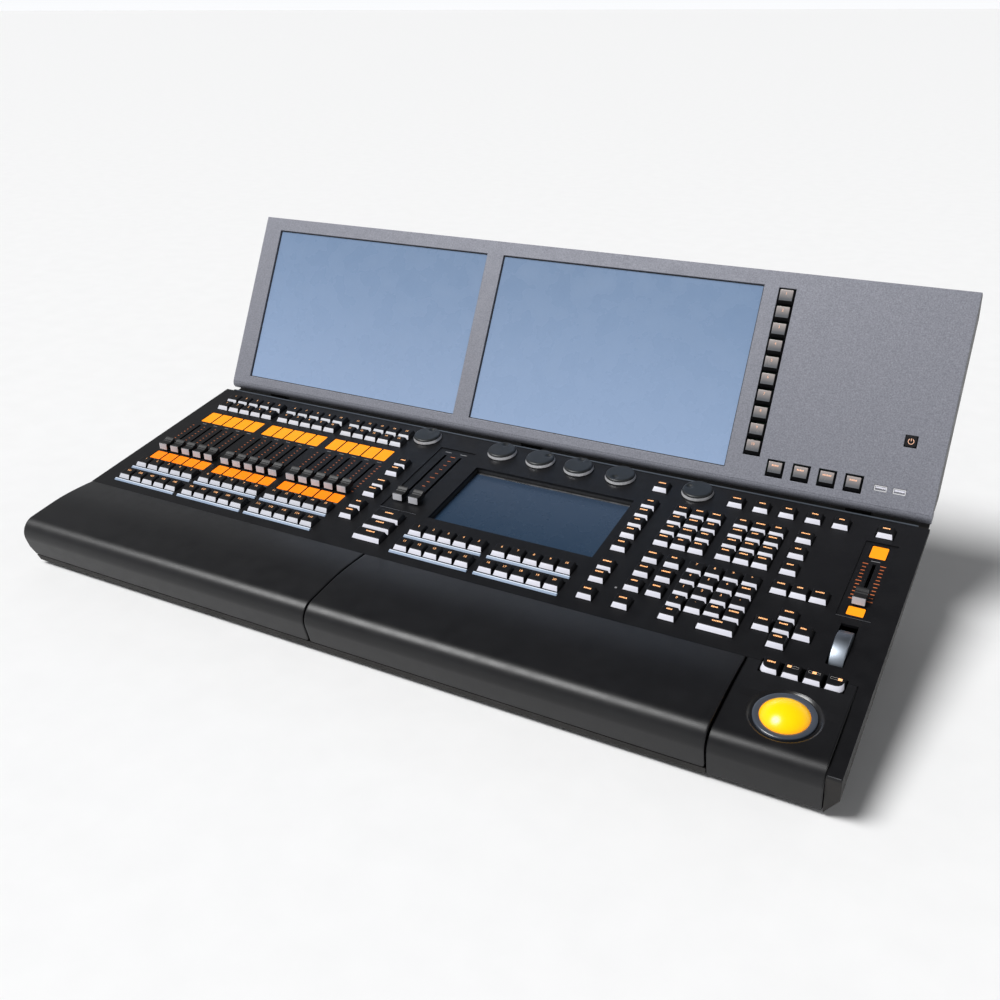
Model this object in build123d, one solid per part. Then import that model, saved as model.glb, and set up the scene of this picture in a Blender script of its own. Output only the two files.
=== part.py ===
from build123d import *
import math
import os

os.makedirs("parts", exist_ok=True)

# A lighting control desk: a low wedge-shaped console with a sloping control panel, a padded-looking
# palm rest along its front edge and a hinged wing with two screens along its back edge.
#
# Two working frames are used, both in millimetres.
#   panel frame: x to the right from the middle of the desk, y up the slope of the control panel from
#                its front edge, z out of the panel.
#   wing frame:  x as above, y up the face of the screen wing from its bottom edge, z out of its face.
# The finished desk stands on z = 0 with the origin in the middle of its footprint.

# ---------------------------------------------------------------- driving dimensions, desk
desk_width = 965.0
panel_depth = 374.6
panel_tilt = 10.0
panel_thickness = 3.0
sheet = 2.0
foot_height = 5.0
front_height = 43.0
half = desk_width / 2

palm_depth = 112.0
palm_crown = 7.0
nose_radius = 19.0
nose_overhang = 2.0
palm_wall = 3.0
palm_bottom = -36.0
tray_lip_top = -36.8
groove = 1.6
shoulder_share = 0.42
belly_share = 0.72
left_rest_end = 420.0
centre_rest_end = 850.0
housing_end = 951.8
housing_crown = 3.5

corner_top_front = -24.5
corner_top_rear = -5.0
corner_cut_in = 12.0

rear_wall = 376.6
rear_wall_top = -3.0
trim_end_gap = 12.0
closing_end_gap = 3.0
foot_radius = 11.0

# ---------------------------------------------------------------- driving dimensions, wing
wing_angle = 53.4
wing_height = 249.9
wing_half = 481.2
wing_foot = 384.1
wing_lift = 0.5
wing_plate = 2.5
wing_depth = 30.0
lip_radius = 8.0
cover_foot = 14.5
wing_raise_limit = 15.0
knuckle_radius = 4.2
knuckle_room = 0.6
hinge_pin_radius = 2.0
running_fit = 0.05
hinge_places = (-405.0, 0.0, 405.0)
knuckle_width = 28.0
knuckle_side_gap = 1.0
arm_front_reach = 2.0
arm_shelf = (-24.0, -12.0)

# ---------------------------------------------------------------- driving dimensions, controls
key_pitch = 19.4
key_width = 18.3
key_depth = 17.9
key_top_width = 15.1
key_slope_run = 4.0
key_height = 5.0
key_skirt = 4.0
key_back_run = 1.4
key_back_rise = 0.5
key_stem = 6.0
key_stem_end = 8.2
key_clearance = 0.6

fader_travel = 60.0
crossfader_travel = 100.0
fader_cap_length = 17.6
fader_cap_width = 12.7
fader_cap_top = 11.5
fader_cap_lift = 2.2
slot_width = 3.4
lever_width = 1.4
lever_length = 5.0
lever_reach = 17.0

knob_radius = 18.3
knob_height = 6.5
knob_lift = 0.6
shaft_radius = 3.0
shaft_reach = 8.0
dimple_radius = 4.6
dimple_depth = 1.4

wheel_radius = 30.0
wheel_width = 15.0
wheel_rise = 8.0

ball_radius = 28.5
ball_gap = 0.3
ring_radius = 27.8
ring_top = 2.6
ball_mouth_radius = 21.2
dish_flare = 5.4


def from_left(distance):
    """The x of a point given by its distance from the left end of the desk."""
    return distance - half


# ---------------------------------------------------------------- layout of the control panel
upper_row = 243.5
lower_row = 131.4
executor_row_gap = 30.2
strip_centres = [from_left(75.0 + 105.3 * group) for group in range(3)]
executor_centres = [from_left(493.2), from_left(599.5)]
five = [(index - 2) * key_pitch for index in range(5)]

fader_rest = 213.0
crossfader_rest = 223.8
crossfader_places = [from_left(397.6), from_left(419.3)]
master_place = from_left(925.8)
master_rest = 231.2

knob_places = [from_left(place) for place in (354.5, 463.7, 516.7, 568.0, 622.1, 717.0)]
knob_row = 354.2
dimple_turns = (84, 92, 30, 94, -104, 173)
dimple_reach = 10.7

wheel_row = 161.0
wheel_slot_length = 61.0
wheel_slot_width = 16.6

ball_place = from_left(903.8)
ball_row = 50.5

command_screen_limits = (from_left(449.7), from_left(655.6), 198.9, 314.3)
display_gap = 0.6
upper_display = (285.5, 311.0)
lower_display = (185.0, 202.6)
display_cell = 18.9
display_floor = -2.8
display_face = -0.3
master_display_half = 8.9
master_displays = ((305.0, 326.8), (207.5, 221.4))

bar_length = 98.8
bar_front = 155.5
bar_depth = 4.8
bar_height = 1.6

left_screen_limits = (from_left(29.4), from_left(369.3), 19.0, 232.5)
right_screen_limits = (from_left(393.2), from_left(734.2), 19.0, 232.5)
view_key_place = from_left(761.6)
view_key_start = 46.8
function_key_places = [from_left(791.2 + 28.85 * index) for index in range(4)]
function_key_row = 26.9
power_place = (from_left(926.7), 82.5)
power_size = 12.0
usb_places = [from_left(906.6), from_left(926.3)]
usb_row = 27.0
usb_size = (13.2, 6.0)


# ---------------------------------------------------------------- the two working frames
tilt = math.radians(panel_tilt)
panel_front_z = foot_height + front_height * math.cos(tilt)
wing_world_angle = math.radians(panel_tilt + wing_angle)
wing_back_corner = (wing_height - 21.9, wing_depth)
wing_back_y = (
    wing_foot * math.cos(tilt)
    - wing_lift * math.sin(tilt)
    + wing_back_corner[0] * math.cos(wing_world_angle)
    + wing_back_corner[1] * math.sin(wing_world_angle)
)
nose_front_y = (
    (nose_radius - nose_overhang) * math.cos(tilt)
    + (nose_radius - palm_crown) * math.sin(tilt)
    - nose_radius
)
panel_front_y = -(wing_back_y + nose_front_y) / 2
lean = math.radians(wing_angle)
hinge_y = wing_foot + lip_radius * (math.cos(lean) + math.sin(lean))
hinge_z = wing_lift + lip_radius * (math.sin(lean) - math.cos(lean))
panel_frame = Location((0, panel_front_y, panel_front_z), (panel_tilt, 0, 0))
wing_frame = panel_frame * Location((0, wing_foot, wing_lift), (wing_angle, 0, 0))


def panel_point(y, z):
    """Desk (y, z) of a point given as (y, z) in the panel frame."""
    return (
        panel_front_y + y * math.cos(tilt) - z * math.sin(tilt),
        panel_front_z + y * math.sin(tilt) + z * math.cos(tilt),
    )


rear_y = panel_point(rear_wall, rear_wall_top)[0]


# ---------------------------------------------------------------- small building helpers
def block(x0, x1, y0, y1, z0, z1):
    """A box given by its six limits."""
    return Pos((x0 + x1) / 2, (y0 + y1) / 2, (z0 + z1) / 2) * Box(x1 - x0, y1 - y0, z1 - z0)


def centred(x, y, width, depth, z0, z1):
    """A box centred on (x, y) between two heights."""
    return block(x - width / 2, x + width / 2, y - depth / 2, y + depth / 2, z0, z1)


def prism(points, x0, x1):
    """A straight prism along x whose section is a list of (y, z) points."""
    section = Plane.YZ * Polygon(*points, align=None)
    return extrude(Pos(x0, 0, 0) * section, amount=x1 - x0, dir=(1, 0, 0))


def rod(x0, x1, y, z, radius):
    """A round bar along x."""
    return Pos((x0 + x1) / 2, y, z) * Rot(0, 90, 0) * Cylinder(radius, x1 - x0)


def disc(x, y, z0, z1, radius):
    """A round bar along z."""
    return Pos(x, y, (z0 + z1) / 2) * Cylinder(radius, z1 - z0)


def half_space(origin, along, across, depth=0.0):
    """Everything on the outer side of the plane through origin that holds both directions."""
    plane = Plane(origin=origin, x_dir=along, z_dir=Vector(across).cross(Vector(along)))
    return plane * (Pos(0, 0, 1000 - depth) * Box(4000, 4000, 2000))


def solids_of(shapes):
    """One flat list of the solids in a list of shapes."""
    return [solid for shape in shapes for solid in shape.solids()]


def save(name, shapes, frame=Location()):
    """Write one node: its pieces, moved from their working frame into the desk's frame."""
    pieces = solids_of(shapes if isinstance(shapes, list) else [shapes])
    placed = [frame * piece for piece in pieces]
    export_step(placed[0] if len(placed) == 1 else Compound(children=placed), f"parts/{name}.step")


# ---------------------------------------------------------------- base of the desk
def floor_line(y):
    """Height in the panel frame, at y, of the level plane under the tray."""
    return -front_height - y * math.tan(tilt)


def rear_line(z):
    """The y in the panel frame, at height z, of the upright back face."""
    return rear_wall + (z - rear_wall_top) * math.tan(tilt)


def rear_foot(inset=0.0):
    """Where the upright back face meets the level underside, in the panel frame."""
    height = panel_point(rear_wall, rear_wall_top)[1] - foot_height - inset
    return (rear_wall - height * math.sin(tilt), rear_wall_top - height * math.cos(tilt))


def corner_cutters(depth=0.0):
    """The two slanted cuts that take the lower corners off the desk's ends."""
    drop = front_height + corner_top_front
    rise = corner_top_rear - corner_top_front
    right_along, right_across = (0, panel_depth, rise), (-corner_cut_in, 0, -drop)
    left_along, left_across = (0, -panel_depth, -rise), (corner_cut_in, 0, -drop)
    right = half_space((half, 0, corner_top_front), right_along, right_across, depth)
    left = half_space((-half, 0, corner_top_front), left_along, left_across, depth)
    return right + left


def wedge(x0, x1, front, top_front, inset=0.0):
    """The base's wedge-shaped section between two ends, drawn in by inset on every side but the top."""
    back = rear_foot(inset)
    points = [
        (front + inset, floor_line(front + inset) + inset),
        (front + inset, top_front),
        (palm_depth + 0.5, top_front),
        (palm_depth + 0.5, -panel_thickness),
        (rear_wall - inset, -panel_thickness),
        (back[0] - inset, back[1]),
    ]
    return prism(points, x0 + inset, x1 - inset)


def base_block(inset=0.0):
    """The whole base as one block: low under the palm rests, full height at its right end."""
    main = wedge(-half, from_left(housing_end), 0, tray_lip_top, inset)
    strip = wedge(from_left(housing_end) - 4 * inset, half, 0, -panel_thickness, inset)
    return main + strip - corner_cutters(inset)


def rear_slab():
    """The sheet that the back panel is cut from."""
    return Pos(0, rear_y - sheet / 2, 100) * Box(2 * desk_width, sheet, 400)


def bottom_tray():
    """Folded sheet tray with slanted ends, open at the top and at the back, with air slots in its floor."""
    shell = base_block() - (base_block(sheet) + Pos(0, 0, 1) * base_block(sheet))
    gap_left, gap_right = from_left(centre_rest_end) + groove - 0.4, from_left(housing_end) + 0.4
    lip_gap = block(gap_left, gap_right, -5, 4.0, -60, -20)
    tray = (panel_frame * (shell - lip_gap)) - rear_slab()
    for index in range(floor_slot_count):
        place = (index - (floor_slot_count - 1) / 2) * floor_slot_pitch
        tray -= Pos(place, floor_slot_row, foot_height) * Box(air_slot_width, floor_slot_length, 12)
    return tray


air_slot_width = 3.0
floor_slot_count = 14
floor_slot_pitch = 40.0
floor_slot_row = 60.0
floor_slot_length = 90.0

socket_height = 62.0
rear_sockets = [-330.0 + 42.0 * index for index in range(8)]
socket_flange = (26.0, 31.0)
socket_hole = 23.0
socket_barrel_radius = 10.4
socket_barrel_length = 26.0
inlet_place = 330.0
inlet_flange = (32.0, 52.0)
inlet_body = (27.0, 47.0)
switch_place = 290.0
switch_flange = (17.0, 24.0)
switch_body = (13.0, 19.0)
hole_spare = 0.6
rear_slots = [70.0 + 10.0 * index for index in range(18)]
rear_slot_height = 44.0


def rear_hole(place, width, height):
    """A rectangular hole through the back sheet at the sockets' height."""
    return Pos(place, rear_y, socket_height) * Box(width, 20, height)


def rear_panel():
    """Upright back sheet with holes for the sockets, the mains inlet and the air slots."""
    panel = (panel_frame * base_block()) & rear_slab()
    holes = [rear_hole(place, socket_hole, socket_hole) for place in rear_sockets]
    holes.append(rear_hole(inlet_place, inlet_body[0] + hole_spare, inlet_body[1] + hole_spare))
    holes.append(rear_hole(switch_place, switch_body[0] + hole_spare, switch_body[1] + hole_spare))
    holes += [Pos(0, 0, 6) * rear_hole(place, air_slot_width, rear_slot_height) for place in rear_slots]
    return panel - holes


def rear_trim():
    """Edge strip behind the control panel, and the strips that close the gap under the wing's round edge.

    The closing strips stand out of the back face between the hinge arms.
    """
    end = half - trim_end_gap
    strips = [block(-end, end, panel_depth + 0.05, rear_wall + 0.8, -2.2, 0.6)]
    top, bottom, reach = hinge_z + arm_shelf[1], hinge_z + arm_shelf[1] - sheet, hinge_y + knuckle_radius
    section = [(rear_line(top), top), (reach, top), (reach, bottom), (rear_line(bottom), bottom)]
    stops = [-half + closing_end_gap]
    for x in hinge_places:
        stops += [x - knuckle_width / 2, x + knuckle_width / 2]
    stops.append(half - closing_end_gap)
    for start, stop in zip(stops[::2], stops[1::2]):
        strips.append(prism(section, start + 0.1, stop - 0.1))
    return strips


def rubber_feet():
    """Round feet under the tray."""
    front = panel_point(24, 0)[0]
    back = rear_y - 40
    places = [(x, front) for x in (-425, 0, 425)] + [(x, back) for x in (-375, 0, 375)]
    return [disc(x, y, 0, foot_height, foot_radius) for x, y in places]


# ---------------------------------------------------------------- palm rests and trackball housing
def rest_section(crown, inset, front_bottom):
    """Outline of a rest: a low hump that rolls over into a round nose and a straight front."""
    radius = nose_radius - (palm_crown - crown) / 2 - inset
    centre_y = nose_radius - (palm_crown - crown) / 2 - nose_overhang
    centre_z = crown - (nose_radius - (palm_crown - crown) / 2)
    back = (palm_depth - inset, -inset)
    shoulder = (palm_depth * shoulder_share, crown - inset)
    top = (centre_y, crown - inset)
    front = (centre_y - radius, centre_z)
    slant = radius * math.sin(math.radians(45))
    belly = (palm_depth * belly_share, crown * belly_share - inset)
    outline = [
        ThreePointArc(back, belly, shoulder),
        Line(shoulder, top),
        ThreePointArc(top, (centre_y - slant, centre_z + slant), front),
        Line(front, (0.5 + inset, front_bottom)),
        Line((0.5 + inset, front_bottom), (palm_depth - inset, front_bottom)),
        Line((palm_depth - inset, front_bottom), back),
    ]
    return make_face([Plane.YZ * edge for edge in outline])


def rest_shell(x0, x1, crown, front_bottom):
    """A hollow rest with closed ends, open underneath."""
    length = x1 - x0
    outer_face = Pos(x0, 0, 0) * rest_section(crown, 0, front_bottom)
    inner_face = Pos(x0 + palm_wall, 0, 0) * rest_section(crown, palm_wall, front_bottom - 10)
    outer = extrude(outer_face, amount=length, dir=(1, 0, 0))
    return outer - extrude(inner_face, amount=length - 2 * palm_wall, dir=(1, 0, 0))


def left_palm_rest():
    """Palm rest in front of the playback strip, with the desk's slanted lower corner."""
    return rest_shell(-half, from_left(left_rest_end), palm_crown, palm_bottom) - corner_cutters()


def centre_palm_rest():
    """Palm rest between the playback strip and the trackball."""
    left, right = from_left(left_rest_end) + groove, from_left(centre_rest_end)
    return rest_shell(left, right, palm_crown, palm_bottom)


trackball_key_row = 97.2
trackball_key_width = 17.2
trackball_key_lift = -0.9
trackball_well = (
    ball_place - 2 * key_pitch,
    ball_place + 2 * key_pitch,
    trackball_key_row - key_clearance,
    trackball_key_row + key_depth + key_clearance,
)


def trackball_housing():
    """Rest at the right that carries the trackball in a shallow dish and its four keys.

    The keys' well runs on through its back wall into the front edge of the control panel.
    """
    left, right = from_left(centre_rest_end) + groove, from_left(housing_end) - 0.3
    shell = rest_shell(left, right, housing_crown, palm_bottom)
    shell += block(left, right, 0.5, 0.5 + palm_wall, -front_height + 0.2, palm_bottom)
    hole_radius = ring_radius + ball_gap
    dish = Pos(ball_place, ball_row, housing_crown) * Cone(hole_radius, ring_radius + dish_flare, 4.2)
    shell -= dish + disc(ball_place, ball_row, -10, 10, hole_radius)
    return shell - block(*trackball_well, -20, 20)


ball_centre_z = ring_top - math.sqrt(ball_radius**2 - ball_mouth_radius**2)


def trackball_ring():
    """Collar round the ball, and the cup under it that holds the ball."""
    hollow = Pos(ball_place, ball_row, ball_centre_z) * Sphere(ball_radius + ball_gap)
    collar = disc(ball_place, ball_row, -6, ring_top, ring_radius) - hollow
    cup = Pos(ball_place, ball_row, ball_centre_z) * Sphere(ball_radius + 2.4) - hollow
    cup -= disc(ball_place, ball_row, -6, 40, 60)
    return [collar, cup]


def trackball():
    """The free-turning ball."""
    return Pos(ball_place, ball_row, ball_centre_z) * Sphere(ball_radius)


# ---------------------------------------------------------------- key layout: (x, front edge, width, depth)
def key_block(xs, rows):
    """One key of standard size at each crossing of columns and rows."""
    return [(x, row, key_width, key_depth) for row in rows for x in xs]


def playback_keys(rows):
    """Three groups of five keys in each row."""
    return [(x + step, row, key_width, key_depth) for row in rows for x in strip_centres for step in five]


def column(first, count):
    """Centres of a run of key columns, given the first one's distance from the left end."""
    return [from_left(first + key_pitch * index) for index in range(count)]


def rows_from(first, count):
    """Front edges of a run of key rows."""
    return [first + key_pitch * index for index in range(count)]


playback_lower_rows = [lower_row, lower_row + executor_row_gap]
wide_key = key_width + key_pitch
key_sets = {
    "playback_keys_upper": playback_keys(rows_from(upper_row + 4 * key_pitch, 2)),
    "playback_keys_lower": playback_keys(playback_lower_rows),
    "page_keys": key_block([from_left(358.9)], [277.2, 258.9, 228.0, 209.7, 179.8, 161.5])
    + [(from_left(407.7), row, wide_key, key_depth) for row in rows_from(lower_row + 1.2, 3)],
    "executor_keys": [
        (x + step, row, key_width, key_depth)
        for row in playback_lower_rows
        for x in executor_centres
        for step in five
    ],
    "screen_side_keys": key_block([from_left(675.6)], [340.5])
    + key_block([from_left(676.0)], [301.7, 282.3, 262.9, 243.5, 218.0, 180.2, 160.6, 131.0]),
    "command_keys": key_block(column(714.3, 3), rows_from(upper_row, 4))
    + key_block(column(782.8, 3), rows_from(upper_row, 4)),
    "edit_keys": key_block([from_left(764.0 + 28.8 * index) for index in range(5)], [340.5])
    + key_block([master_place - 0.8], [340.5])
    + key_block([from_left(850.7)], [301.7, 272.6, 243.5])
    + key_block(column(850.7, 3), [210.3])
    + key_block([from_left(714.8)], [211.2, 185.8, 160.5, 130.6])
    + key_block([from_left(738.8)], [211.2, 185.8, 160.5]),
    "number_keys": key_block(column(763.5, 4), rows_from(lower_row + key_pitch, 4))
    + key_block(column(763.5, 1), [lower_row])
    + [(from_left(812.1), lower_row, wide_key, key_depth)],
    "cursor_keys": key_block(column(850.7, 3), [lower_row + key_pitch + 0.5])
    + key_block([from_left(870.1)], [lower_row + 0.6, lower_row + 2 * key_pitch + 0.4]),
}
trackball_keys = [
    (ball_place + (index - 1.5) * key_pitch, trackball_key_row, trackball_key_width, key_depth)
    for index in range(4)
]
view_key_front = view_key_start - key_depth / 2
view_keys = key_block([view_key_place], [view_key_front + index * key_pitch for index in range(10)])
function_keys = key_block(function_key_places, [function_key_row - key_depth / 2])
wing_key_lift = -3.2
wing_well = 19.6


def key_cap(width, depth, lift=0.0):
    """A cap with a deep skirt, a long slope at the front, and a stem that reaches its switch."""
    side_run = (key_width - key_top_width) / 2
    side_view = [
        (0, -key_skirt),
        (0, 0),
        (key_slope_run, key_height),
        (depth - key_back_run, key_height + key_back_rise),
        (depth, 0),
        (depth, -key_skirt),
    ]
    end_top = key_height + 2
    end_view = [
        (-width / 2, -key_skirt),
        (-width / 2, 0),
        (-width / 2 + side_run, end_top),
        (width / 2 - side_run, end_top),
        (width / 2, 0),
        (width / 2, -key_skirt),
    ]
    front_on = Pos(0, depth, 0) * (Plane.XZ * Polygon(*end_view, align=None))
    cap = prism(side_view, -width / 2, width / 2) & extrude(front_on, amount=depth, dir=(0, -1, 0))
    stem = centred(0, depth / 2, key_stem, key_stem, -key_stem_end, -key_skirt)
    return Pos(0, 0, lift) * (cap + stem)


def key_group(keys, lift=0.0):
    """All the caps of one set; caps of one size are copies of one shape."""
    shapes = {}
    for _, _, width, depth in keys:
        if (width, depth) not in shapes:
            shapes[(width, depth)] = key_cap(width, depth, lift)
    return [Pos(x, row, 0) * shapes[(width, depth)] for x, row, width, depth in keys]


def key_openings(keys, z0, z1):
    """Openings round a set of keys; neighbours in a row or column share one opening."""
    room = 2 * key_clearance
    return [
        centred(x, row + depth / 2, width + room, depth + room, z0, z1)
        for x, row, width, depth in keys
    ]


# ---------------------------------------------------------------- control panel
def display_cells(span, centre):
    """Five display windows side by side."""
    middle = (span[0] + span[1]) / 2
    return [
        centred(centre + (index - 2) * display_cell, middle, display_cell - display_gap, span[1] - span[0],
                display_floor, display_face)
        for index in range(5)
    ]


def label_displays():
    """Amber display windows over and under the playback faders and at the master fader."""
    cells = []
    for x in strip_centres:
        cells += display_cells(upper_display, x) + display_cells(lower_display, x)
    left, right = master_place - master_display_half, master_place + master_display_half
    for low, high in master_displays:
        cells.append(block(left, right, low, high, display_floor, display_face - 1))
    return cells


def light_bars():
    """Raised bars in front of each group of five keys, with a sloping front edge."""
    bars = []
    for x in strip_centres + executor_centres:
        for front in (bar_front, bar_front - executor_row_gap):
            back = front + bar_depth
            section = [(front, -2), (front, 0.1), (front + 1.6, bar_height), (back, bar_height), (back, -2)]
            bars.append(prism(section, x - bar_length / 2, x + bar_length / 2))
    return bars


fader_places = [x + step for x in strip_centres for step in five]
slot_end_gap = 0.8
recess_depth = 1.0


def fader_slot(x, rest, travel):
    """Straight slot that a fader's lever runs along."""
    reach = lever_length / 2 + slot_end_gap
    return block(x - slot_width / 2, x + slot_width / 2, rest - reach, rest + travel + reach, -20, 5)


def panel_recesses():
    """Shallow sunk areas round the crossfaders and the master fader."""
    crossfader = block(from_left(383.5), from_left(433.2), 199.2, 341.0, -recess_depth, 5)
    master = block(from_left(909.3), from_left(942.2), 202.3, 332.0, -recess_depth, 5)
    return [crossfader, master]


def screen_opening(limits, z0, z1, margin=0.0):
    """A rectangular opening or module outline for a screen."""
    x0, x1, y0, y1 = limits
    return block(x0 - margin, x1 + margin, y0 - margin, y1 + margin, z0, z1)


def display_openings():
    """The windows of the fader displays."""
    width = 5 * display_cell - display_gap
    windows = [(x, width, span) for x in strip_centres for span in (upper_display, lower_display)]
    windows += [(master_place, 2 * master_display_half, span) for span in master_displays]
    return [
        centred(x, (low + high) / 2, width + 0.2, high - low + 0.2, -5, 5)
        for x, width, (low, high) in windows
    ]


def control_panel():
    """Black sheet with the openings of every control, and a narrow strip beside the trackball."""
    plate = block(-half, half, palm_depth + 0.2, panel_depth, -panel_thickness, 0)
    plate += block(from_left(housing_end), half, 0, palm_depth + 1, -panel_thickness, 0)
    cuts = [opening for keys in key_sets.values() for opening in key_openings(keys, -10, 10)]
    cuts += display_openings()
    cuts += panel_recesses()
    cuts += [screen_opening(command_screen_limits, -10, 10)]
    cuts += [fader_slot(x, fader_rest, fader_travel) for x in fader_places]
    cuts += [fader_slot(x, crossfader_rest, crossfader_travel) for x in crossfader_places]
    cuts += [fader_slot(master_place, master_rest, fader_travel)]
    cuts += [centred(master_place, wheel_row, wheel_slot_width, wheel_slot_length, -10, 10)]
    cuts += [block(*trackball_well, -10, 10)]
    for x in strip_centres + executor_centres:
        for front in (bar_front, bar_front - executor_row_gap):
            cuts.append(centred(x, front + bar_depth / 2, bar_length + 0.2, bar_depth + 0.2, -5, 5))
    cuts += [disc(x, knob_row, -10, 10, shaft_radius + 0.5) for x in knob_places]
    return plate - cuts


def command_screen():
    """Sunk screen module under the control panel: a frame round a glass face."""
    module = screen_opening(command_screen_limits, -14, -panel_thickness, 4)
    return module - screen_opening(command_screen_limits, -7.5, 0)


# ---------------------------------------------------------------- moving controls on the panel
def fader_cap(x, rest, sink=0.0):
    """A dished cap with ribs across its top, on a thin lever."""
    section = [
        (0, fader_cap_lift),
        (1.4, fader_cap_top - 1.6),
        (2.4, fader_cap_top - 1.0),
        (4.6, fader_cap_top - 2.6),
        (5.2, fader_cap_top - 1.9),
        (7.0, fader_cap_top - 2.9),
        (7.6, fader_cap_top - 2.4),
        (9.6, fader_cap_top - 2.9),
        (10.2, fader_cap_top - 2.2),
        (12.4, fader_cap_top - 2.3),
        (13.0, fader_cap_top - 1.4),
        (16.6, fader_cap_top),
        (fader_cap_length, fader_cap_lift),
    ]
    front = rest - fader_cap_length / 2
    placed = [(front + y, z - sink) for y, z in section]
    cap = prism(placed, x - fader_cap_width / 2, x + fader_cap_width / 2)
    return cap + centred(x, rest, lever_width, lever_length, -lever_reach, fader_cap_lift + 1 - sink)


def encoder_knob(x, dimple_turn):
    """A wide low knob with a finger dimple, on a round shaft; each stands turned its own way."""
    body = disc(x, knob_row, knob_lift, knob_height, knob_radius)
    body = chamfer(body.edges().group_by(Axis.Z)[-1], 0.8)
    turn = math.radians(dimple_turn)
    dimple_x, dimple_y = x + dimple_reach * math.cos(turn), knob_row + dimple_reach * math.sin(turn)
    dimple_z = knob_height + dimple_radius - dimple_depth
    dimple = Pos(dimple_x, dimple_y, dimple_z) * Sphere(dimple_radius)
    return body - dimple + disc(x, knob_row, -shaft_reach, knob_lift + 1, shaft_radius)


wheel_z = wheel_rise - wheel_radius
axle_radius = 3.0
axle_half = 13.0


def level_wheel():
    """Thumb wheel on its own axle, standing out of a slot."""
    left, right = master_place - wheel_width / 2, master_place + wheel_width / 2
    tread = rod(left, right, wheel_row, wheel_z, wheel_radius)
    tread = chamfer(tread.edges().filter_by(GeomType.CIRCLE), 0.6)
    return tread + rod(master_place - axle_half, master_place + axle_half, wheel_row, wheel_z, axle_radius)


# ---------------------------------------------------------------- under the panel
slide_width = 11.0
slide_ends = 16.0
slide_heights = (-22.0, -10.0)
encoder_body = 14.0
bracket_place = 10.5
bracket_half = 1.2
bracket_reach = 8.0


def slide_body(x, rest, travel):
    """Body of a slide fader under its slot, with the channel that the lever runs in."""
    middle = rest + travel / 2
    body = centred(x, middle, slide_width, travel + slide_ends, *slide_heights)
    return body - centred(x, middle, 2 * lever_width, travel + lever_length + 2, -lever_reach - 1.5, 0)


def wheel_bracket(side):
    """Plate that holds one end of the wheel's axle."""
    x = master_place + side * bracket_place
    front, back = wheel_row - bracket_reach, wheel_row + bracket_reach
    arm = block(x - bracket_half, x + bracket_half, front, back, wheel_z - bracket_reach, -panel_thickness)
    return arm - rod(x - 3, x + 3, wheel_row, wheel_z, axle_radius + running_fit)


def control_bodies():
    """Bodies of the slide faders and turning controls, fixed under the control panel."""
    parts = [slide_body(x, fader_rest, fader_travel) for x in fader_places]
    parts += [slide_body(x, crossfader_rest, crossfader_travel) for x in crossfader_places]
    parts.append(slide_body(master_place, master_rest, fader_travel))
    parts += [centred(x, knob_row, encoder_body, encoder_body, -17, -8.6) for x in knob_places]
    parts += [wheel_bracket(side) for side in (-1, 1)]
    return parts


board_thickness = 1.6
board_face = -11.2
trackball_board_face = -13.0


def key_boards():
    """Boards with the key switches, close under each part of the panel and under the trackball's keys."""
    left, right = from_left(20), from_left(340)
    spans = [
        (left, right, 318, 372),
        (left, right, 120, 182),
        (from_left(347), from_left(371), 155, 300),
        (from_left(386), from_left(438), 120, 192),
        (from_left(440), from_left(660), 120, 184),
        (from_left(663), from_left(832), 120, 322),
        (from_left(750), from_left(905), 336, 362),
        (from_left(838), from_left(902), 120, 322),
    ]
    boards = [
        block(x0, x1, y0, y1, board_face - board_thickness, board_face)
        for x0, x1, y0, y1 in spans
    ]
    low, high = trackball_board_face - board_thickness, trackball_board_face
    boards.append(block(trackball_well[0], trackball_well[1], 98, 111, low, high))
    return boards


spacer_height = 6.0
spacer_radius = 3.0
supply_height = 34.0


def main_unit():
    """Main board on spacers and the mains supply, both on the tray's floor."""
    floor = foot_height + sheet
    board_height = floor + spacer_height
    board = block(-250, 60, 15, 95, board_height, board_height + board_thickness)
    spacers = [disc(x, y, floor, board_height, spacer_radius) for x in (-240, 50) for y in (25, 85)]
    supply = block(200, 300, 5, 95, floor, floor + supply_height)
    return [board, supply] + spacers


def on_back(place, size, depths, centre=socket_height):
    """A box on the back of the desk, given by its width and height and how far out it starts and ends."""
    width, height = size
    start, end = depths
    return block(place - width / 2, place + width / 2, rear_y + start, rear_y + end,
                 centre - height / 2, centre + height / 2)


def on_back_round(place, radius, depths, height=socket_height):
    """A round bar that points out of the back of the desk."""
    start, end = depths
    return Pos(place, rear_y + (start + end) / 2, height) * Rot(90, 0, 0) * Cylinder(radius, end - start)


def data_socket(place):
    """Round socket with a square flange, an outer ring groove and three pin holes."""
    body = on_back(place, socket_flange, (0, 2))
    body += on_back_round(place, socket_barrel_radius, (-11, 15))
    for turn in (math.radians(30), math.radians(150), math.radians(270)):
        height = socket_height + 5 * math.sin(turn)
        body -= on_back_round(place + 5 * math.cos(turn), 1.3, (-2, 22), height)
    return body - (on_back_round(place, 11, (11, 19)) - on_back_round(place, 9.4, (10, 20)))


def mains_inlet():
    """Mains inlet with its pocket, three blades and a flange."""
    inlet = on_back(inlet_place, inlet_flange, (0, 2.4)) + on_back(inlet_place, inlet_body, (-26, 0))
    inlet -= on_back(inlet_place, (24, 16.5), (-18, 5), socket_height - 7.75)
    blades = [on_back(inlet_place + x, (2, 4), (-19, -6), socket_height - 7.5) for x in (-7, 0, 7)]
    return inlet + blades


def mains_switch():
    """Rocker switch beside the inlet."""
    return on_back(switch_place, switch_flange, (0, 1.6)) + on_back(switch_place, switch_body, (-15, 4))


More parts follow.
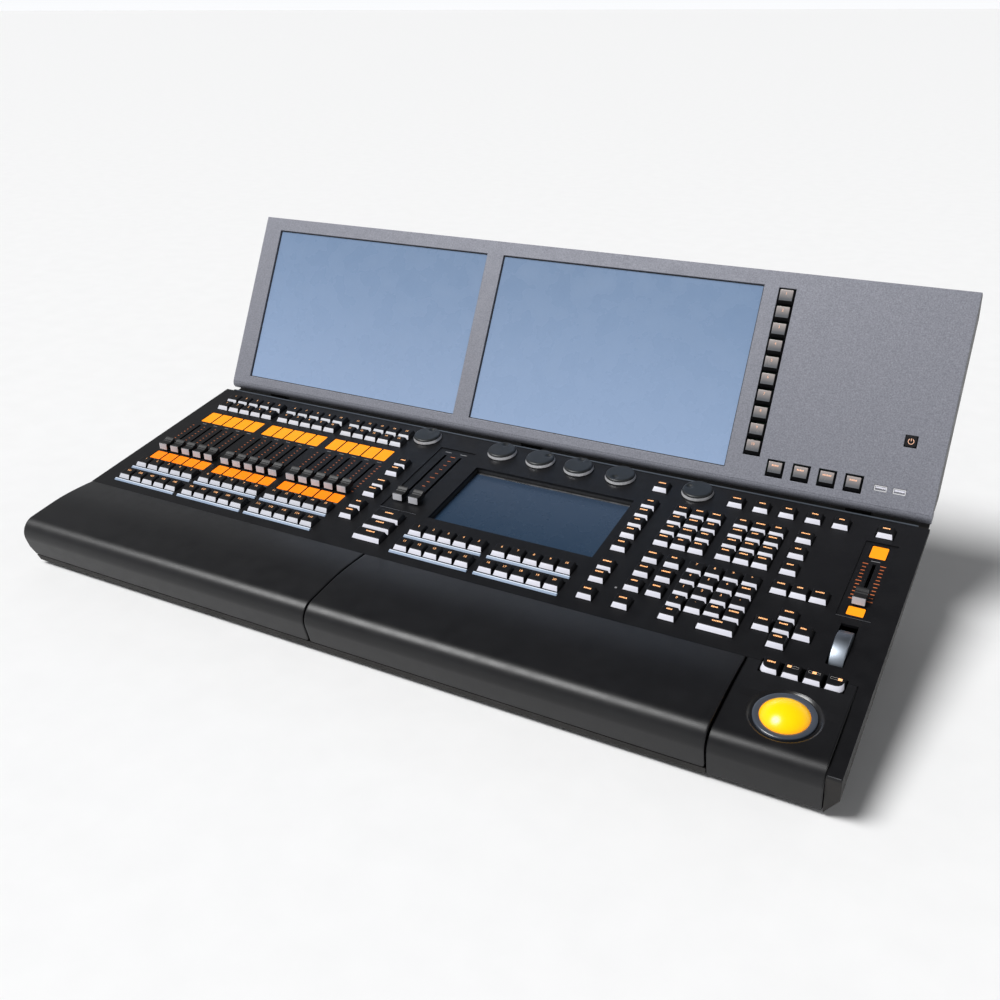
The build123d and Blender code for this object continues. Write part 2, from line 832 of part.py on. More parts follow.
def rear_connectors():
    """Round data sockets, the mains inlet and its switch on the back panel."""
    return [data_socket(place) for place in rear_sockets] + [mains_inlet(), mains_switch()]


# ---------------------------------------------------------------- screen wing
axis_y = lip_radius
axis_z = -lip_radius
barrel_back = 13.0
barrel_web_depth = -13.5
notch_reach = 20.0
notch_spare = 5.0
notch_end = 340.0
cover_slot_count = 12
cover_slot_pitch = 12.0
cover_slot_place = 240.0


def wing_front_panel():
    """Grey face of the wing with the openings for its screens, keys, sockets and power button."""
    plate = block(-wing_half, wing_half, lip_radius, wing_height, -wing_plate, 0)
    cuts = [screen_opening(limits, -10, 10) for limits in (left_screen_limits, right_screen_limits)]
    low = view_key_start - key_pitch / 2
    left, right = view_key_place - wing_well / 2, view_key_place + wing_well / 2
    cuts.append(block(left, right, low, low + 10 * key_pitch, -10, 10))
    cuts += [centred(x, function_key_row, wing_well, wing_well, -10, 10) for x in function_key_places]
    cuts.append(centred(*power_place, power_size + 1.2, power_size + 1.2, -10, 10))
    cuts += [centred(x, usb_row, usb_size[0] + 0.4, usb_size[1] + 0.4, -10, 10) for x in usb_places]
    return plate - cuts


def wing_section(inset, face):
    """Section of the wing's back cover, drawn in by inset and open at the given height of its face."""
    slope = inset * 0.42
    return [
        (cover_foot + inset, face),
        (cover_foot + inset, -14.0 + slope),
        (cover_foot + 17.0 + slope, -wing_depth + inset),
        (wing_back_corner[0] - slope, -wing_depth + inset),
        (wing_height - inset, -12.0 + slope),
        (wing_height - inset, face),
    ]


def wing_back_cover():
    """Hollow back of the wing with slanted edges and air slots."""
    outer = prism(wing_section(0, -wing_plate), -wing_half, wing_half)
    inner = prism(wing_section(sheet, 10), -wing_half + sheet, wing_half - sheet)
    cover = outer - inner
    for side in (-1, 1):
        for index in range(cover_slot_count):
            x = side * cover_slot_place + (index - (cover_slot_count - 1) / 2) * cover_slot_pitch
            slot = centred(x, 175, air_slot_width, 60, -wing_depth - 5, -wing_depth + 5)
            cover -= slot
    return cover


def hinge_notch(x):
    """Room in the round lower edge for one knuckle and its arm, at every angle of the wing.

    The front of the edge stays whole, so that the notch is hidden from the front.
    """
    arm_side = 180 + math.degrees(math.acos(arm_front_reach / (knuckle_radius + knuckle_room)))
    start = arm_side - wing_angle - wing_raise_limit - notch_spare
    turns = [math.radians(start + (notch_end - start) * step / 4) for step in range(5)]
    sector = [(0, 0)] + [(notch_reach * math.cos(turn), notch_reach * math.sin(turn)) for turn in turns]
    section = Polygon(*sector, align=None) + Circle(knuckle_radius + knuckle_room)
    width = knuckle_width + 2 * knuckle_side_gap
    blank = Pos(x - width / 2, 0, 0) * (Plane.YZ * (Pos(axis_y, axis_z) * section))
    return extrude(blank, amount=width, dir=(1, 0, 0))


def wing_barrel():
    """Round lower edge of the wing, notched behind for the hinge arms, with the hinge pins pressed in."""
    bar = rod(-wing_half, wing_half, axis_y, axis_z, lip_radius)
    bar -= block(-desk_width, desk_width, lip_radius, 60, -wing_plate, 20)
    bar -= block(-desk_width, desk_width, barrel_back, 60, -30, 20)
    bar += block(-wing_half, wing_half, barrel_back - 4, cover_foot, barrel_web_depth, -wing_plate)
    pins = []
    for x in hinge_places:
        pin_start, pin_end = x - knuckle_width, x + knuckle_width
        bar -= hinge_notch(x)
        bar -= rod(pin_start - 2, pin_end + 2, axis_y, axis_z, hinge_pin_radius)
        pins.append(rod(pin_start, pin_end, axis_y, axis_z, hinge_pin_radius))
    return [bar] + pins


def wing_screens():
    """Two flat screen modules behind the wing's face."""
    back = -wing_plate - 9
    limits_of_both = (left_screen_limits, right_screen_limits)
    return [screen_opening(limits, back, -wing_plate, 2) for limits in limits_of_both]


def wing_sockets():
    """Board behind the wing's face, with the two data sockets that show in it."""
    board = block(from_left(750), from_left(940), 20, 236, -15.6, -14)
    parts = [board]
    for x in usb_places:
        shell = centred(x, usb_row, usb_size[0], usb_size[1], -14, -0.4)
        shell -= centred(x, usb_row, usb_size[0] - 1.2, usb_size[1] - 1.2, -12, 2)
        shell += centred(x, usb_row + 0.9, usb_size[0] - 2.6, 2.0, -12.5, -1.2)
        parts.append(shell)
    return parts


def power_button():
    """Small square button with its stem."""
    x, y = power_place
    cap = centred(x, y, power_size, power_size, -5, 0.8)
    cap = chamfer(cap.edges().group_by(Axis.Z)[-1], 0.5)
    return cap + centred(x, y, 4, 4, -10, -5)


def hinge_arms():
    """Bent arms on the back of the base: each runs under the wing's round edge and rises to its pin."""
    bottom, top = (hinge_z + height for height in arm_shelf)
    shelf = [(rear_line(top), top), (hinge_y + knuckle_radius, top),
             (hinge_y + knuckle_radius, bottom), (rear_line(bottom), bottom)]
    arms = []
    for x in hinge_places:
        start, end = x - knuckle_width / 2, x + knuckle_width / 2
        arm = prism(shelf, start, end)
        arm += block(start, end, hinge_y - arm_front_reach, hinge_y + knuckle_radius, top - 1, hinge_z)
        arm += rod(start, end, hinge_y, hinge_z, knuckle_radius)
        arms.append(arm - rod(start - 1, end + 1, hinge_y, hinge_z, hinge_pin_radius + running_fit))
    return arms


# ---------------------------------------------------------------- write every node
def write_base():
    """Fixed parts of the console."""
    save("bottom_tray", bottom_tray())
    save("rear_panel", rear_panel())
    save("rear_trim", rear_trim(), panel_frame)
    save("rubber_feet", rubber_feet())
    save("control_panel", control_panel(), panel_frame)
    save("left_palm_rest", left_palm_rest(), panel_frame)
    save("centre_palm_rest", centre_palm_rest(), panel_frame)
    save("trackball_housing", trackball_housing(), panel_frame)
    save("trackball_ring", trackball_ring(), panel_frame)
    save("command_screen", command_screen(), panel_frame)
    save("label_displays", label_displays(), panel_frame)
    save("light_bars", light_bars(), panel_frame)
    save("control_bodies", control_bodies(), panel_frame)
    save("circuit_boards", [panel_frame * board for board in key_boards()] + main_unit())
    save("rear_connectors", rear_connectors())
    save("hinge_arms", hinge_arms(), panel_frame)


def write_controls():
    """Every moving control of the console."""
    for name, keys in key_sets.items():
        save(name, key_group(keys), panel_frame)
    save("trackball_keys", key_group(trackball_keys, trackball_key_lift), panel_frame)
    for index, x in enumerate(fader_places):
        save(f"fader_{index + 1:02d}", fader_cap(x, fader_rest), panel_frame)
    for name, x in zip(("crossfader_left", "crossfader_right"), crossfader_places):
        save(name, fader_cap(x, crossfader_rest, 1.0), panel_frame)
    save("master_fader", fader_cap(master_place, master_rest, 1.0), panel_frame)
    for index, (x, dimple_turn) in enumerate(zip(knob_places, dimple_turns)):
        save(f"encoder_knob_{index + 1}", encoder_knob(x, dimple_turn), panel_frame)
    save("level_wheel", level_wheel(), panel_frame)
    save("trackball", trackball(), panel_frame)


def write_wing():
    """The screen wing and what moves on it."""
    save("wing_front_panel", wing_front_panel(), wing_frame)
    save("wing_back_cover", wing_back_cover(), wing_frame)
    save("wing_barrel", wing_barrel(), wing_frame)
    save("wing_screens", wing_screens(), wing_frame)
    save("wing_sockets", wing_sockets(), wing_frame)
    save("wing_view_keys", key_group(view_keys, wing_key_lift), wing_frame)
    save("wing_function_keys", key_group(function_keys, wing_key_lift), wing_frame)
    save("power_button", power_button(), wing_frame)


write_base()
write_controls()
write_wing()
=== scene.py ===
"""Lighting control desk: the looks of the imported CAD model, built and painted in Blender."""
import math
import random

import bmesh
import bpy
from mathutils import Matrix, Vector


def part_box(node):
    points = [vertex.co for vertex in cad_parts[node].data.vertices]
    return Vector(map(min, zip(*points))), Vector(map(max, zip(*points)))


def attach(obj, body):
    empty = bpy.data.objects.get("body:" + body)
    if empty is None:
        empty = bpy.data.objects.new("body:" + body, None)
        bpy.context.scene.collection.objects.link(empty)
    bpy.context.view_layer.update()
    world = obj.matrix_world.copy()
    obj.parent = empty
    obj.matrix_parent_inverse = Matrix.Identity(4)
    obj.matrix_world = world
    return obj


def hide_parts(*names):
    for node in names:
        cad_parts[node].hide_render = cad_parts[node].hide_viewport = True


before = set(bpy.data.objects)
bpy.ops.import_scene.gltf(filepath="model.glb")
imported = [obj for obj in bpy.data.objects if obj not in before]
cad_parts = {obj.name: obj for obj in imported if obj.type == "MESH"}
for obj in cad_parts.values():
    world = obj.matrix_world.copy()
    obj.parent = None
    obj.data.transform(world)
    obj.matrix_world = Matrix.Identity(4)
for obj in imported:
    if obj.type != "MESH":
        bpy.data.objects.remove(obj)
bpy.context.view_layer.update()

dice = random.Random(7)

# ---- driving dimensions, in millimetres
desk_width = 965.0
half = desk_width / 2
panel_tilt = 10.0
wing_angle = 53.4
panel_front = (0.0, -0.2534585, 0.0473467)
wing_foot, wing_lift = 384.1, 0.5
wing_half, wing_height, wing_plate = 481.2, 249.9, 2.5
hinge_places = (-405.0, 0.0, 405.0)

palm_depth, palm_crown, palm_bottom = 112.0, 7.0, -36.0
nose_radius, nose_overhang = 19.0, 1.98
left_rest_end, centre_rest_end, housing_end, groove = 420.0, 850.0, 951.8, 1.6
housing_crown = 3.5
front_height, foot_height = 43.0, 5.0

key_slope_run, key_height, key_side_run = 4.0, 5.0, 1.6
key_skirt = 4.0
print_depth, print_proud = 0.1, 0.05
legend_share, numeral_height, word_height = 0.68, 3.2, 1.9

fader_groups = [75.0 + 105.3 * group for group in range(3)]
key_pitch = 19.4
fader_rest, fader_travel = 213.0, 60.0
master_place = 925.8
ball_place, ball_row = 903.8, 50.5
ring_radius, ring_top = 27.8, 2.6
knob_row, knob_top = 354.2, 6.5
first_view_row, function_row, wing_key_half = 46.8, 26.9, 9.8
view_column, function_column, function_pitch = 761.6, 791.2, 28.85
socket_columns, socket_row = (906.6, 926.3), 27.0
corner_top_front, corner_cut_in, corner_drop, corner_rise = -24.5, 12.0, 18.5, 19.5
panel_depth = 374.6
knob_columns, knob_turns = (354.5, 463.7, 516.7, 568.0, 622.1, 717.0), (84, 92, 30, 94, -104, 173)
dimple_place, dimple_radius, dimple_depth = 10.7, 5.0, 1.5
wheel_radius, wheel_row, wheel_top = 30.0, 161.0, 8.0
power_column, power_row, power_half = 926.7, 82.5, 6.6
wing_back = -29.2


def at(x, y, z=0.0):
    """Moves a shape to a spot."""
    return Matrix.Translation((x, y, z))


def turned(degrees, axis):
    """Turns a shape about one of the axes."""
    return Matrix.Rotation(math.radians(degrees), 4, axis)


DESK = Matrix.Scale(0.001, 4)
PANEL = at(*panel_front) @ turned(panel_tilt, "X") @ DESK
WING = PANEL @ at(0, wing_foot, wing_lift) @ turned(wing_angle, "X")


def from_left(distance):
    """The x of a point given by its distance from the left end of the desk."""
    return distance - half


left_screen = (from_left(29.4), from_left(369.3), 19.0, 232.5)
right_screen = (from_left(393.2), from_left(734.2), 19.0, 232.5)
command_screen = (from_left(449.7), from_left(655.6), 198.9, 314.3)


# ---- shapes: points, faces and looks
class Shape:
    """Faces gathered for one piece, each with the number of its material."""

    def __init__(self):
        self.points, self.faces, self.looks = [], [], []

    def add(self, points, faces, looks=0, place=Matrix()):
        start = len(self.points)
        self.points += [place @ Vector(point) for point in points]
        self.faces += [[start + corner for corner in face] for face in faces]
        self.looks += [looks] * len(faces) if isinstance(looks, int) else looks
        return self

    def add_shape(self, other, place=Matrix()):
        return self.add(other.points, other.faces, other.looks, place)


def loft(rings, look=0, special=None, caps=True, closed=True):
    """A skin through rings of equal length; special maps (ring, segment) to another look."""
    count = len(rings[0])
    points = [point for ring in rings for point in ring]
    special = special or {}
    faces, looks = [], []
    segments = count if closed else count - 1
    for level in range(len(rings) - 1):
        for step in range(segments):
            after = (step + 1) % count
            low, high = level * count, (level + 1) * count
            faces.append([low + step, low + after, high + after, high + step])
            looks.append(special.get((level, step), look))
    if caps:
        faces.append(list(range(count))[::-1])
        faces.append([(len(rings) - 1) * count + step for step in range(count)])
        looks += [look, special.get("top", look)]
    return Shape().add(points, faces, looks)


def rounded_ring(x0, x1, y0, y1, radii, z, steps=3):
    """A rounded rectangle, from the end of its front side at the right round to the left."""
    if not isinstance(radii, tuple):
        radii = (radii,) * 4
    corners = ((x1, y0, -90, -1, 1), (x1, y1, 0, -1, -1), (x0, y1, 90, 1, -1), (x0, y0, 180, 1, 1))
    ring = []
    for radius, (x, y, turn, inward_x, inward_y) in zip(radii, corners):
        for step in range(steps + 1):
            angle = math.radians(turn + 90 * step / steps)
            px = x + inward_x * radius + radius * math.cos(angle)
            py = y + inward_y * radius + radius * math.sin(angle)
            ring.append((px, py, z(py) if callable(z) else z))
    return ring


def rounded_block(x0, x1, y0, y1, z0, z1, radius=1.0, edge=0.4, look=0, top=None):
    """A block with rounded corners and softened upper edges."""
    def ring(inset, z):
        return rounded_ring(x0 + inset, x1 - inset, y0 + inset, y1 - inset, max(radius - inset, 0.05), z)

    rings = [ring(0, z0), ring(0, z1 - edge), ring(edge * 0.3, z1 - edge * 0.3), ring(edge, z1)]
    return loft(rings, look, {"top": look if top is None else top})


def slab(x0, x1, y0, y1, z0, z1, look=0):
    """A plain thin slab, for prints and strips."""
    corners = [(x0, y0), (x1, y0), (x1, y1), (x0, y1)]
    return loft([[(x, y, z0) for x, y in corners], [(x, y, z1) for x, y in corners]], look)


def lathe(profile, steps=96, look=0, bands=None):
    """Turns a profile of (radius, z) round the z axis; bands maps a stretch of it to another look."""
    rings = []
    for radius, z in profile:
        ring = []
        for step in range(steps):
            angle = 2 * math.pi * step / steps
            ring.append((radius * math.cos(angle), radius * math.sin(angle), z))
        rings.append(ring)
    special = {(level, step): mark for level, mark in (bands or {}).items() for step in range(steps)}
    return loft(rings, look, special)


def arc(centre, radius, start, end, steps):
    """Points along an arc in a plane, angles in degrees."""
    turns = [math.radians(start + (end - start) * step / steps) for step in range(steps + 1)]
    return [(centre[0] + radius * math.cos(turn), centre[1] + radius * math.sin(turn)) for turn in turns]


glyph_store = {}


def glyph(text, height):
    """Solid lettering for numerals and signs, centred on its own origin."""
    if (text, height) not in glyph_store:
        curve = bpy.data.curves.new("glyph", "FONT")
        curve.body = text
        curve.size = height * 1.35
        curve.extrude = (print_depth + print_proud) / 2
        curve.resolution_u = 2
        holder = bpy.data.objects.new("glyph", curve)
        mesh = bpy.data.meshes.new_from_object(holder)
        points = [vertex.co.copy() for vertex in mesh.vertices]
        middle = (max(p.x for p in points) + min(p.x for p in points)) / 2
        centre = (max(p.y for p in points) + min(p.y for p in points)) / 2
        shift = Vector((-middle, -centre, print_proud - curve.extrude))
        faces = [list(face.vertices) for face in mesh.polygons]
        glyph_store[(text, height)] = ([point + shift for point in points], faces)
        bpy.data.objects.remove(holder)
        bpy.data.meshes.remove(mesh)
        bpy.data.curves.remove(curve)
    return glyph_store[(text, height)]


def word_bar(length, height, look):
    """A short broken bar that stands where the real key has a word."""
    bar = Shape()
    x = -length / 2
    while x < length / 2 - 0.7:
        width = dice.choice((0.9, 1.1, 1.4))
        rise = dice.choice((0.0, 0.0, 0.35))
        end = min(x + width, length / 2)
        bar.add_shape(slab(x, end, -height / 2, height / 2 - rise, -print_depth, print_proud, look))
        x += width + 0.4
    return bar


# ---- pieces
def new_object(name, data):
    """An object in the scene that shows some data."""
    made = bpy.data.objects.new(name, data)
    bpy.context.scene.collection.objects.link(made)
    return made


def new_mesh(name, shape, paints, place):
    """The mesh of a shape with its materials, in metres."""
    mesh = bpy.data.meshes.new(name)
    mesh.from_pydata([place @ point for point in shape.points], [], shape.faces)
    for paint in paints:
        mesh.materials.append(paint)
    return mesh


def edit_mesh(mesh, *steps):
    """Works on the points and faces of a mesh, one step after another."""
    work = bmesh.new()
    work.from_mesh(mesh)
    for step in steps:
        step(work)
    work.to_mesh(mesh)
    work.free()


def merge_points(work):
    bmesh.ops.remove_doubles(work, verts=work.verts, dist=1e-7)


def face_outwards(work):
    bmesh.ops.recalc_face_normals(work, faces=work.faces)


def smooth_up_to(sharp):
    """A step that shades smoothly, broken at every edge that turns more than sharp, in degrees."""
    def smooth(work):
        for face in work.faces:
            face.smooth = True
        for edge in work.edges:
            edge.smooth = len(edge.link_faces) == 2 and edge.calc_face_angle(0) < math.radians(sharp)

    return smooth


def make_piece(name, shape, paints, body, replaces=(), place=PANEL, sharp=22.0, cuts=()):
    """Turns a shape into a named object that rides on a body."""
    mesh = new_mesh(name, shape, paints, place)
    mesh.polygons.foreach_set("material_index", shape.looks)
    edit_mesh(mesh, merge_points, *cuts, face_outwards, smooth_up_to(sharp))
    piece = new_object(name, mesh)
    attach(piece, body)
    if replaces:
        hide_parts(*replaces)
    return piece


def soften(node, width):
    """Rounds the crisp edges of a CAD node a little, so that they catch the light."""
    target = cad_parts[node]
    weld = target.modifiers.new("weld", "WELD")
    weld.merge_threshold = 1e-6
    bevel = target.modifiers.new("bevel", "BEVEL")
    bevel.width = width / 1000
    bevel.segments = 2
    bevel.limit_method = "ANGLE"
    bevel.angle_limit = math.radians(40)
    bevel.use_clamp_overlap = True


def box_of(points):
    """The lowest and highest corner of the box round some points."""
    return tuple(Vector([pick(p[axis] for p in points) for axis in range(3)]) for pick in (min, max))


def node_solids(node, place=PANEL):
    """The box of each separate solid of a CAD node, in a working frame, from the front left onwards."""
    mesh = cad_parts[node].data
    inverse = place.inverted()
    owner, keys = {}, []
    for vertex in mesh.vertices:
        key = tuple(round(value, 6) for value in vertex.co)
        keys.append(key)
        owner.setdefault(key, key)

    def root(key):
        while owner[key] != key:
            owner[key] = owner[owner[key]]
            key = owner[key]
        return key

    for face in mesh.polygons:
        first = root(keys[face.vertices[0]])
        for corner in face.vertices[1:]:
            owner[root(keys[corner])] = first
    groups = {}
    for key in owner:
        groups.setdefault(root(key), []).append(inverse @ Vector(key))
    boxes = [box_of(points) for points in groups.values()]
    return sorted(boxes, key=lambda box: (round(box[0].y), box[0].x))


# ---- materials
def connect(tree, value, socket):
    """Gives a socket a colour or number, or wires another node's output to it."""
    if isinstance(value, bpy.types.NodeSocket):
        tree.links.new(value, socket)
    else:
        socket.default_value = (*value, 1) if socket.type == "RGBA" else value


def add_node(tree, kind, **inputs):
    """A shader node with its inputs filled in; an underscore stands for a space in an input's name."""
    node = tree.nodes.new(f"ShaderNode{kind}")
    for name, value in inputs.items():
        connect(tree, value, node.inputs[name.replace("_", " ")])
    return node


def new_material(name):
    """An empty node material with its shader, ready to be wired."""
    paint = bpy.data.materials.new(name)
    paint.use_nodes = True
    return paint, paint.node_tree, paint.node_tree.nodes["Principled BSDF"]


def place_on_piece(tree):
    """Where a point lies on its piece, so that a texture rides along."""
    return add_node(tree, "TexCoord").outputs["Object"]


def noise(tree, scale, detail=3.0, stretch=(1, 1, 1)):
    """Noise fixed to the piece, with an optional stretch."""
    mapping = add_node(tree, "Mapping", Vector=place_on_piece(tree), Scale=stretch)
    node = add_node(tree, "TexNoise", Vector=mapping.outputs["Vector"], Scale=scale, Detail=detail)
    return node.outputs["Fac"]


def spread(tree, value, low, high, start=0.3, end=0.7):
    """Maps a value between start and end to the range low to high."""
    node = add_node(tree, "MapRange", Value=value, From_Min=start, From_Max=end, To_Min=low, To_Max=high)
    return node.outputs["Result"]


def blend_colours(tree, factor, first, second):
    """Mixes two colours, each a colour or an output."""
    node = add_node(tree, "Mix", Factor=factor)
    node.data_type = "RGBA"
    connect(tree, first, node.inputs[6])
    connect(tree, second, node.inputs[7])
    return node.outputs[2]


def relief(tree, shader, height, strength, distance):
    """Lets a value raise the surface a little, in metres."""
    node = add_node(tree, "Bump", Height=height, Strength=strength, Distance=distance)
    tree.links.new(node.outputs["Normal"], shader.inputs["Normal"])


def surface(name, colour, second, rough, grain, bump, metallic=0.0, gloss=0.5, stretch=(1, 1, 1), coat=0.0,
            glow=None, mottle=22.0):
    """A painted or moulded surface: mottled colour, uneven roughness and fine grain.

    second is another colour, or how much lighter it is than the first; rough is (lowest, highest), grain the
    scale of the fine texture and bump its strength.
    """
    paint, tree, shader = new_material(name)
    if isinstance(second, float):
        second = tuple(value + second for value in colour)
    colours = blend_colours(tree, spread(tree, noise(tree, mottle, 4.0), 0, 1), colour, second)
    values = {
        "Base Color": colours,
        "Roughness": spread(tree, noise(tree, 60.0, 5.0), *rough),
        "Metallic": metallic,
        "Specular IOR Level": gloss,
        "Coat Weight": coat,
        "Coat Roughness": 0.08,
    }
    if glow:
        values.update({"Emission Color": colours, "Emission Strength": glow})
    for socket, value in values.items():
        connect(tree, value, shader.inputs[socket])
    relief(tree, shader, noise(tree, grain, 2.0, stretch), bump, 0.0002)
    return paint


def brushed(name, colour, stretch):
    """Brushed metal, with its lines along the unstretched direction."""
    return surface(name, colour, tuple(value * 0.85 for value in colour), (0.22, 0.4), 900.0, 0.35, 1.0,
                   stretch=stretch)


def along_slope(tree, place, first, length):
    """How far a point lies up a sloping face, from 0 at first to 1 after length, in a working frame."""
    up = place.to_3x3().col[1].normalized()
    start = (place @ Vector((0, first, 0))).dot(up)
    along = tree.nodes.new("ShaderNodeVectorMath")
    along.operation = "DOT_PRODUCT"
    along.inputs[1].default_value = up
    tree.links.new(place_on_piece(tree), along.inputs[0])
    part = spread(tree, along.outputs["Value"], 0, 1, start, start + length / 1000)
    part.node.clamp = False
    return part


def screen_material(name, low_colour, high_colour, place, limits):
    """A switched-off screen: a soft painted reflection that fades up its face, faint smudges and dust."""
    paint, tree, shader = new_material(name)
    _, _, low, high = limits
    # painted reflection: the colour runs from low_colour at the foot of the screen to high_colour at its top
    shade = spread(tree, along_slope(tree, place, low, high - low), 0, 1, 0.0, 1.0)
    painted_screen_reflection = blend_colours(tree, shade, low_colour, high_colour)
    clouds = spread(tree, noise(tree, 4.0, 2.0), 0, 0.12, 0.35, 0.65)
    connect(tree, blend_colours(tree, clouds, painted_screen_reflection, low_colour), shader.inputs["Base Color"])
    connect(tree, spread(tree, noise(tree, 35.0, 6.0), 0.24, 0.32), shader.inputs["Roughness"])
    relief(tree, shader, spread(tree, noise(tree, 1500.0, 1.0), 0, 0.4, 0.74, 0.8), 0.05, 0.0001)
    return paint


def tint(paint, factor, colour, sockets, over=True):
    """Mixes one more colour into a finished surface, over or under what is there."""
    tree = paint.node_tree
    shader = tree.nodes["Principled BSDF"]
    mottled = shader.inputs["Base Color"].links[0].from_socket
    pair = (mottled, colour) if over else (colour, mottled)
    colours = blend_colours(tree, factor, *pair)
    for socket in sockets:
        connect(tree, colours, shader.inputs[socket])
    return paint


def ball_material():
    """Glossy yellow plastic with a painted glow, deeper in colour where its collar shades it: painted shade.
    """
    # painted glow: the ball gives off a little yellow light of its own
    paint = surface("ball_yellow_painted_glow", (1.0, 0.60, 0.0), (1.0, 0.55, 0.0), (0.2, 0.28), 700.0, 0.02, glow=0.3)
    tree = paint.node_tree
    # painted shade: deeper orange mixed in where the collar shuts out the surround
    shade = add_node(tree, "AmbientOcclusion", Distance=0.012)
    open_sky = spread(tree, shade.outputs["AO"], 0, 1, 0.55, 1.0)
    return tint(paint, open_sky, (1.0, 0.22, 0.0), ("Base Color", "Emission Color"), over=False)


def smoke_with_painted_reflection(name, row):
    """Smoky clear plastic of the wing's keys, with a painted reflection: pale along the back of each top,
    darker towards its front.
    """
    paint = surface(name, (0.09, 0.095, 0.105), (0.12, 0.125, 0.135), (0.2, 0.3), 1500.0, 0.06, coat=0.3)
    tree = paint.node_tree
    within_key = tree.nodes.new("ShaderNodeMath")
    within_key.operation = "FRACT"
    tree.links.new(along_slope(tree, WING, row - key_pitch / 2, key_pitch), within_key.inputs[0])
    # painted reflection: each key top turns a pale warm grey towards its back
    pale = spread(tree, within_key.outputs["Value"], 0, 1, 0.35, 0.95)
    return tint(paint, pale, (0.42, 0.37, 0.35), ("Base Color",))


# surface(name, colour, second colour, roughness, grain, bump, ...)
black_paint = surface("black_paint", (0.0045, 0.0045, 0.0055), 0.002, (0.36, 0.5), 1600, 0.25, gloss=0.22)
rest_black = surface("rest_black", (0.005, 0.005, 0.006), 0.002, (0.33, 0.4), 2200, 0.16, gloss=0.35)
tray_black = surface("tray_black", (0.014, 0.013, 0.012), (0.020, 0.018, 0.017), (0.45, 0.6), 1300, 0.3,
                     gloss=0.25)
wing_grey = surface("wing_grey", (0.145, 0.150, 0.178), (0.235, 0.240, 0.275), (0.45, 0.58), 1500, 0.7,
                    metallic=0.35, mottle=650.0)
wing_dark = surface("wing_dark", (0.020, 0.020, 0.022), 0.008, (0.42, 0.55), 1500, 0.3, gloss=0.4)
key_black = surface("key_black", (0.004, 0.004, 0.005), 0.002, (0.42, 0.55), 1800, 0.2, gloss=0.2)
key_white = surface("key_white", (0.60, 0.60, 0.67), 0.06, (0.3, 0.42), 1500, 0.08, glow=0.08)
key_pale = surface("key_pale", (0.52, 0.53, 0.58), 0.06, (0.3, 0.42), 1500, 0.08, glow=0.05)
# smoky key plastic with a painted reflection on each key top
view_key_smoke_painted_reflection = smoke_with_painted_reflection("view_key_smoke_painted_reflection", first_view_row)
function_key_smoke_painted_reflection = smoke_with_painted_reflection("function_key_smoke_painted_reflection", function_row)
legend_orange = surface("legend_orange", (1.0, 0.46, 0.18), (1.0, 0.52, 0.23), (0.5, 0.6), 3000, 0.1,
                        glow=0.5)
legend_warm = surface("legend_warm", (0.80, 0.42, 0.26), 0.08, (0.5, 0.6), 3000, 0.1, glow=0.2)
legend_pale = surface("legend_pale", (0.55, 0.52, 0.50), (0.62, 0.58, 0.55), (0.5, 0.6), 3000, 0.1)
mark_rust = surface("mark_rust", (0.50, 0.12, 0.035), (0.62, 0.17, 0.05), (0.5, 0.6), 3000, 0.1)
mark_grey = surface("mark_grey", (0.22, 0.22, 0.23), 0.06, (0.5, 0.6), 3000, 0.1)
bar_white = surface("bar_white", (0.60, 0.67, 0.78), (0.68, 0.74, 0.84), (0.22, 0.35), 1200, 0.06,
                    glow=0.08)
bar_blue = surface("bar_blue", (0.25, 0.33, 0.46), 0.06, (0.3, 0.42), 1200, 0.06)
amber = surface("amber", (1.0, 0.29, 0.004), (1.0, 0.32, 0.008), (0.4, 0.55), 1500, 0.05, gloss=0.2,
                glow=0.3)
amber_deep = surface("amber_deep", (1.0, 0.21, 0.002), (1.0, 0.25, 0.004), (0.4, 0.55), 1500, 0.05,
                     gloss=0.2, glow=0.3)
cap_black = surface("cap_black", (0.007, 0.007, 0.008), 0.004, (0.34, 0.46), 1600, 0.15, gloss=0.3)
cap_light = surface("cap_light", (0.42, 0.42, 0.45), 0.08, (0.35, 0.48), 1600, 0.12)
silver_turned = brushed("silver_turned", (0.72, 0.72, 0.74), (1, 1, 0.04))
silver_plain = brushed("silver_plain", (0.62, 0.63, 0.66), (0.03, 1, 1))
knob_silver = surface("knob_silver", (0.70, 0.70, 0.72), 0.1, (0.28, 0.4), 900, 0.3, metallic=0.55,
                      stretch=(1, 1, 0.04))
# painted glow: the socket shells' bright metal also gives off a faint light
shell_metal_painted_glow = surface("shell_metal_painted_glow", (0.72, 0.72, 0.74), 0.08, (0.25, 0.35), 900, 0.1, metallic=0.3,
                       glow=0.06)
wheel_satin = surface("wheel_satin", (0.24, 0.27, 0.31), (0.29, 0.32, 0.37), (0.38, 0.46), 1200, 0.15,
                      metallic=1.0)
trim_steel = surface("trim_steel", (0.10, 0.12, 0.145), 0.03, (0.3, 0.4), 900, 0.2, metallic=0.6)
knob_black = surface("knob_black", (0.010, 0.012, 0.013), (0.014, 0.016, 0.018), (0.34, 0.46), 1500, 0.12,
                     gloss=0.45)
dish_gloss = surface("dish_gloss", (0.008, 0.008, 0.009), 0.004, (0.2, 0.28), 1500, 0.05)
screw_steel = surface("screw_steel", (0.16, 0.16, 0.17), 0.06, (0.3, 0.45), 900, 0.2, metallic=0.9)
ring_blue = surface("ring_blue", (0.045, 0.055, 0.075), 0.015, (0.2, 0.3), 1500, 0.1, coat=0.3)
# pale blue-grey painted reflection on the wing's screens, palest at the foot
screen_pale = screen_material("screen_pale", (0.27, 0.37, 0.55), (0.14, 0.215, 0.345), WING, left_screen)
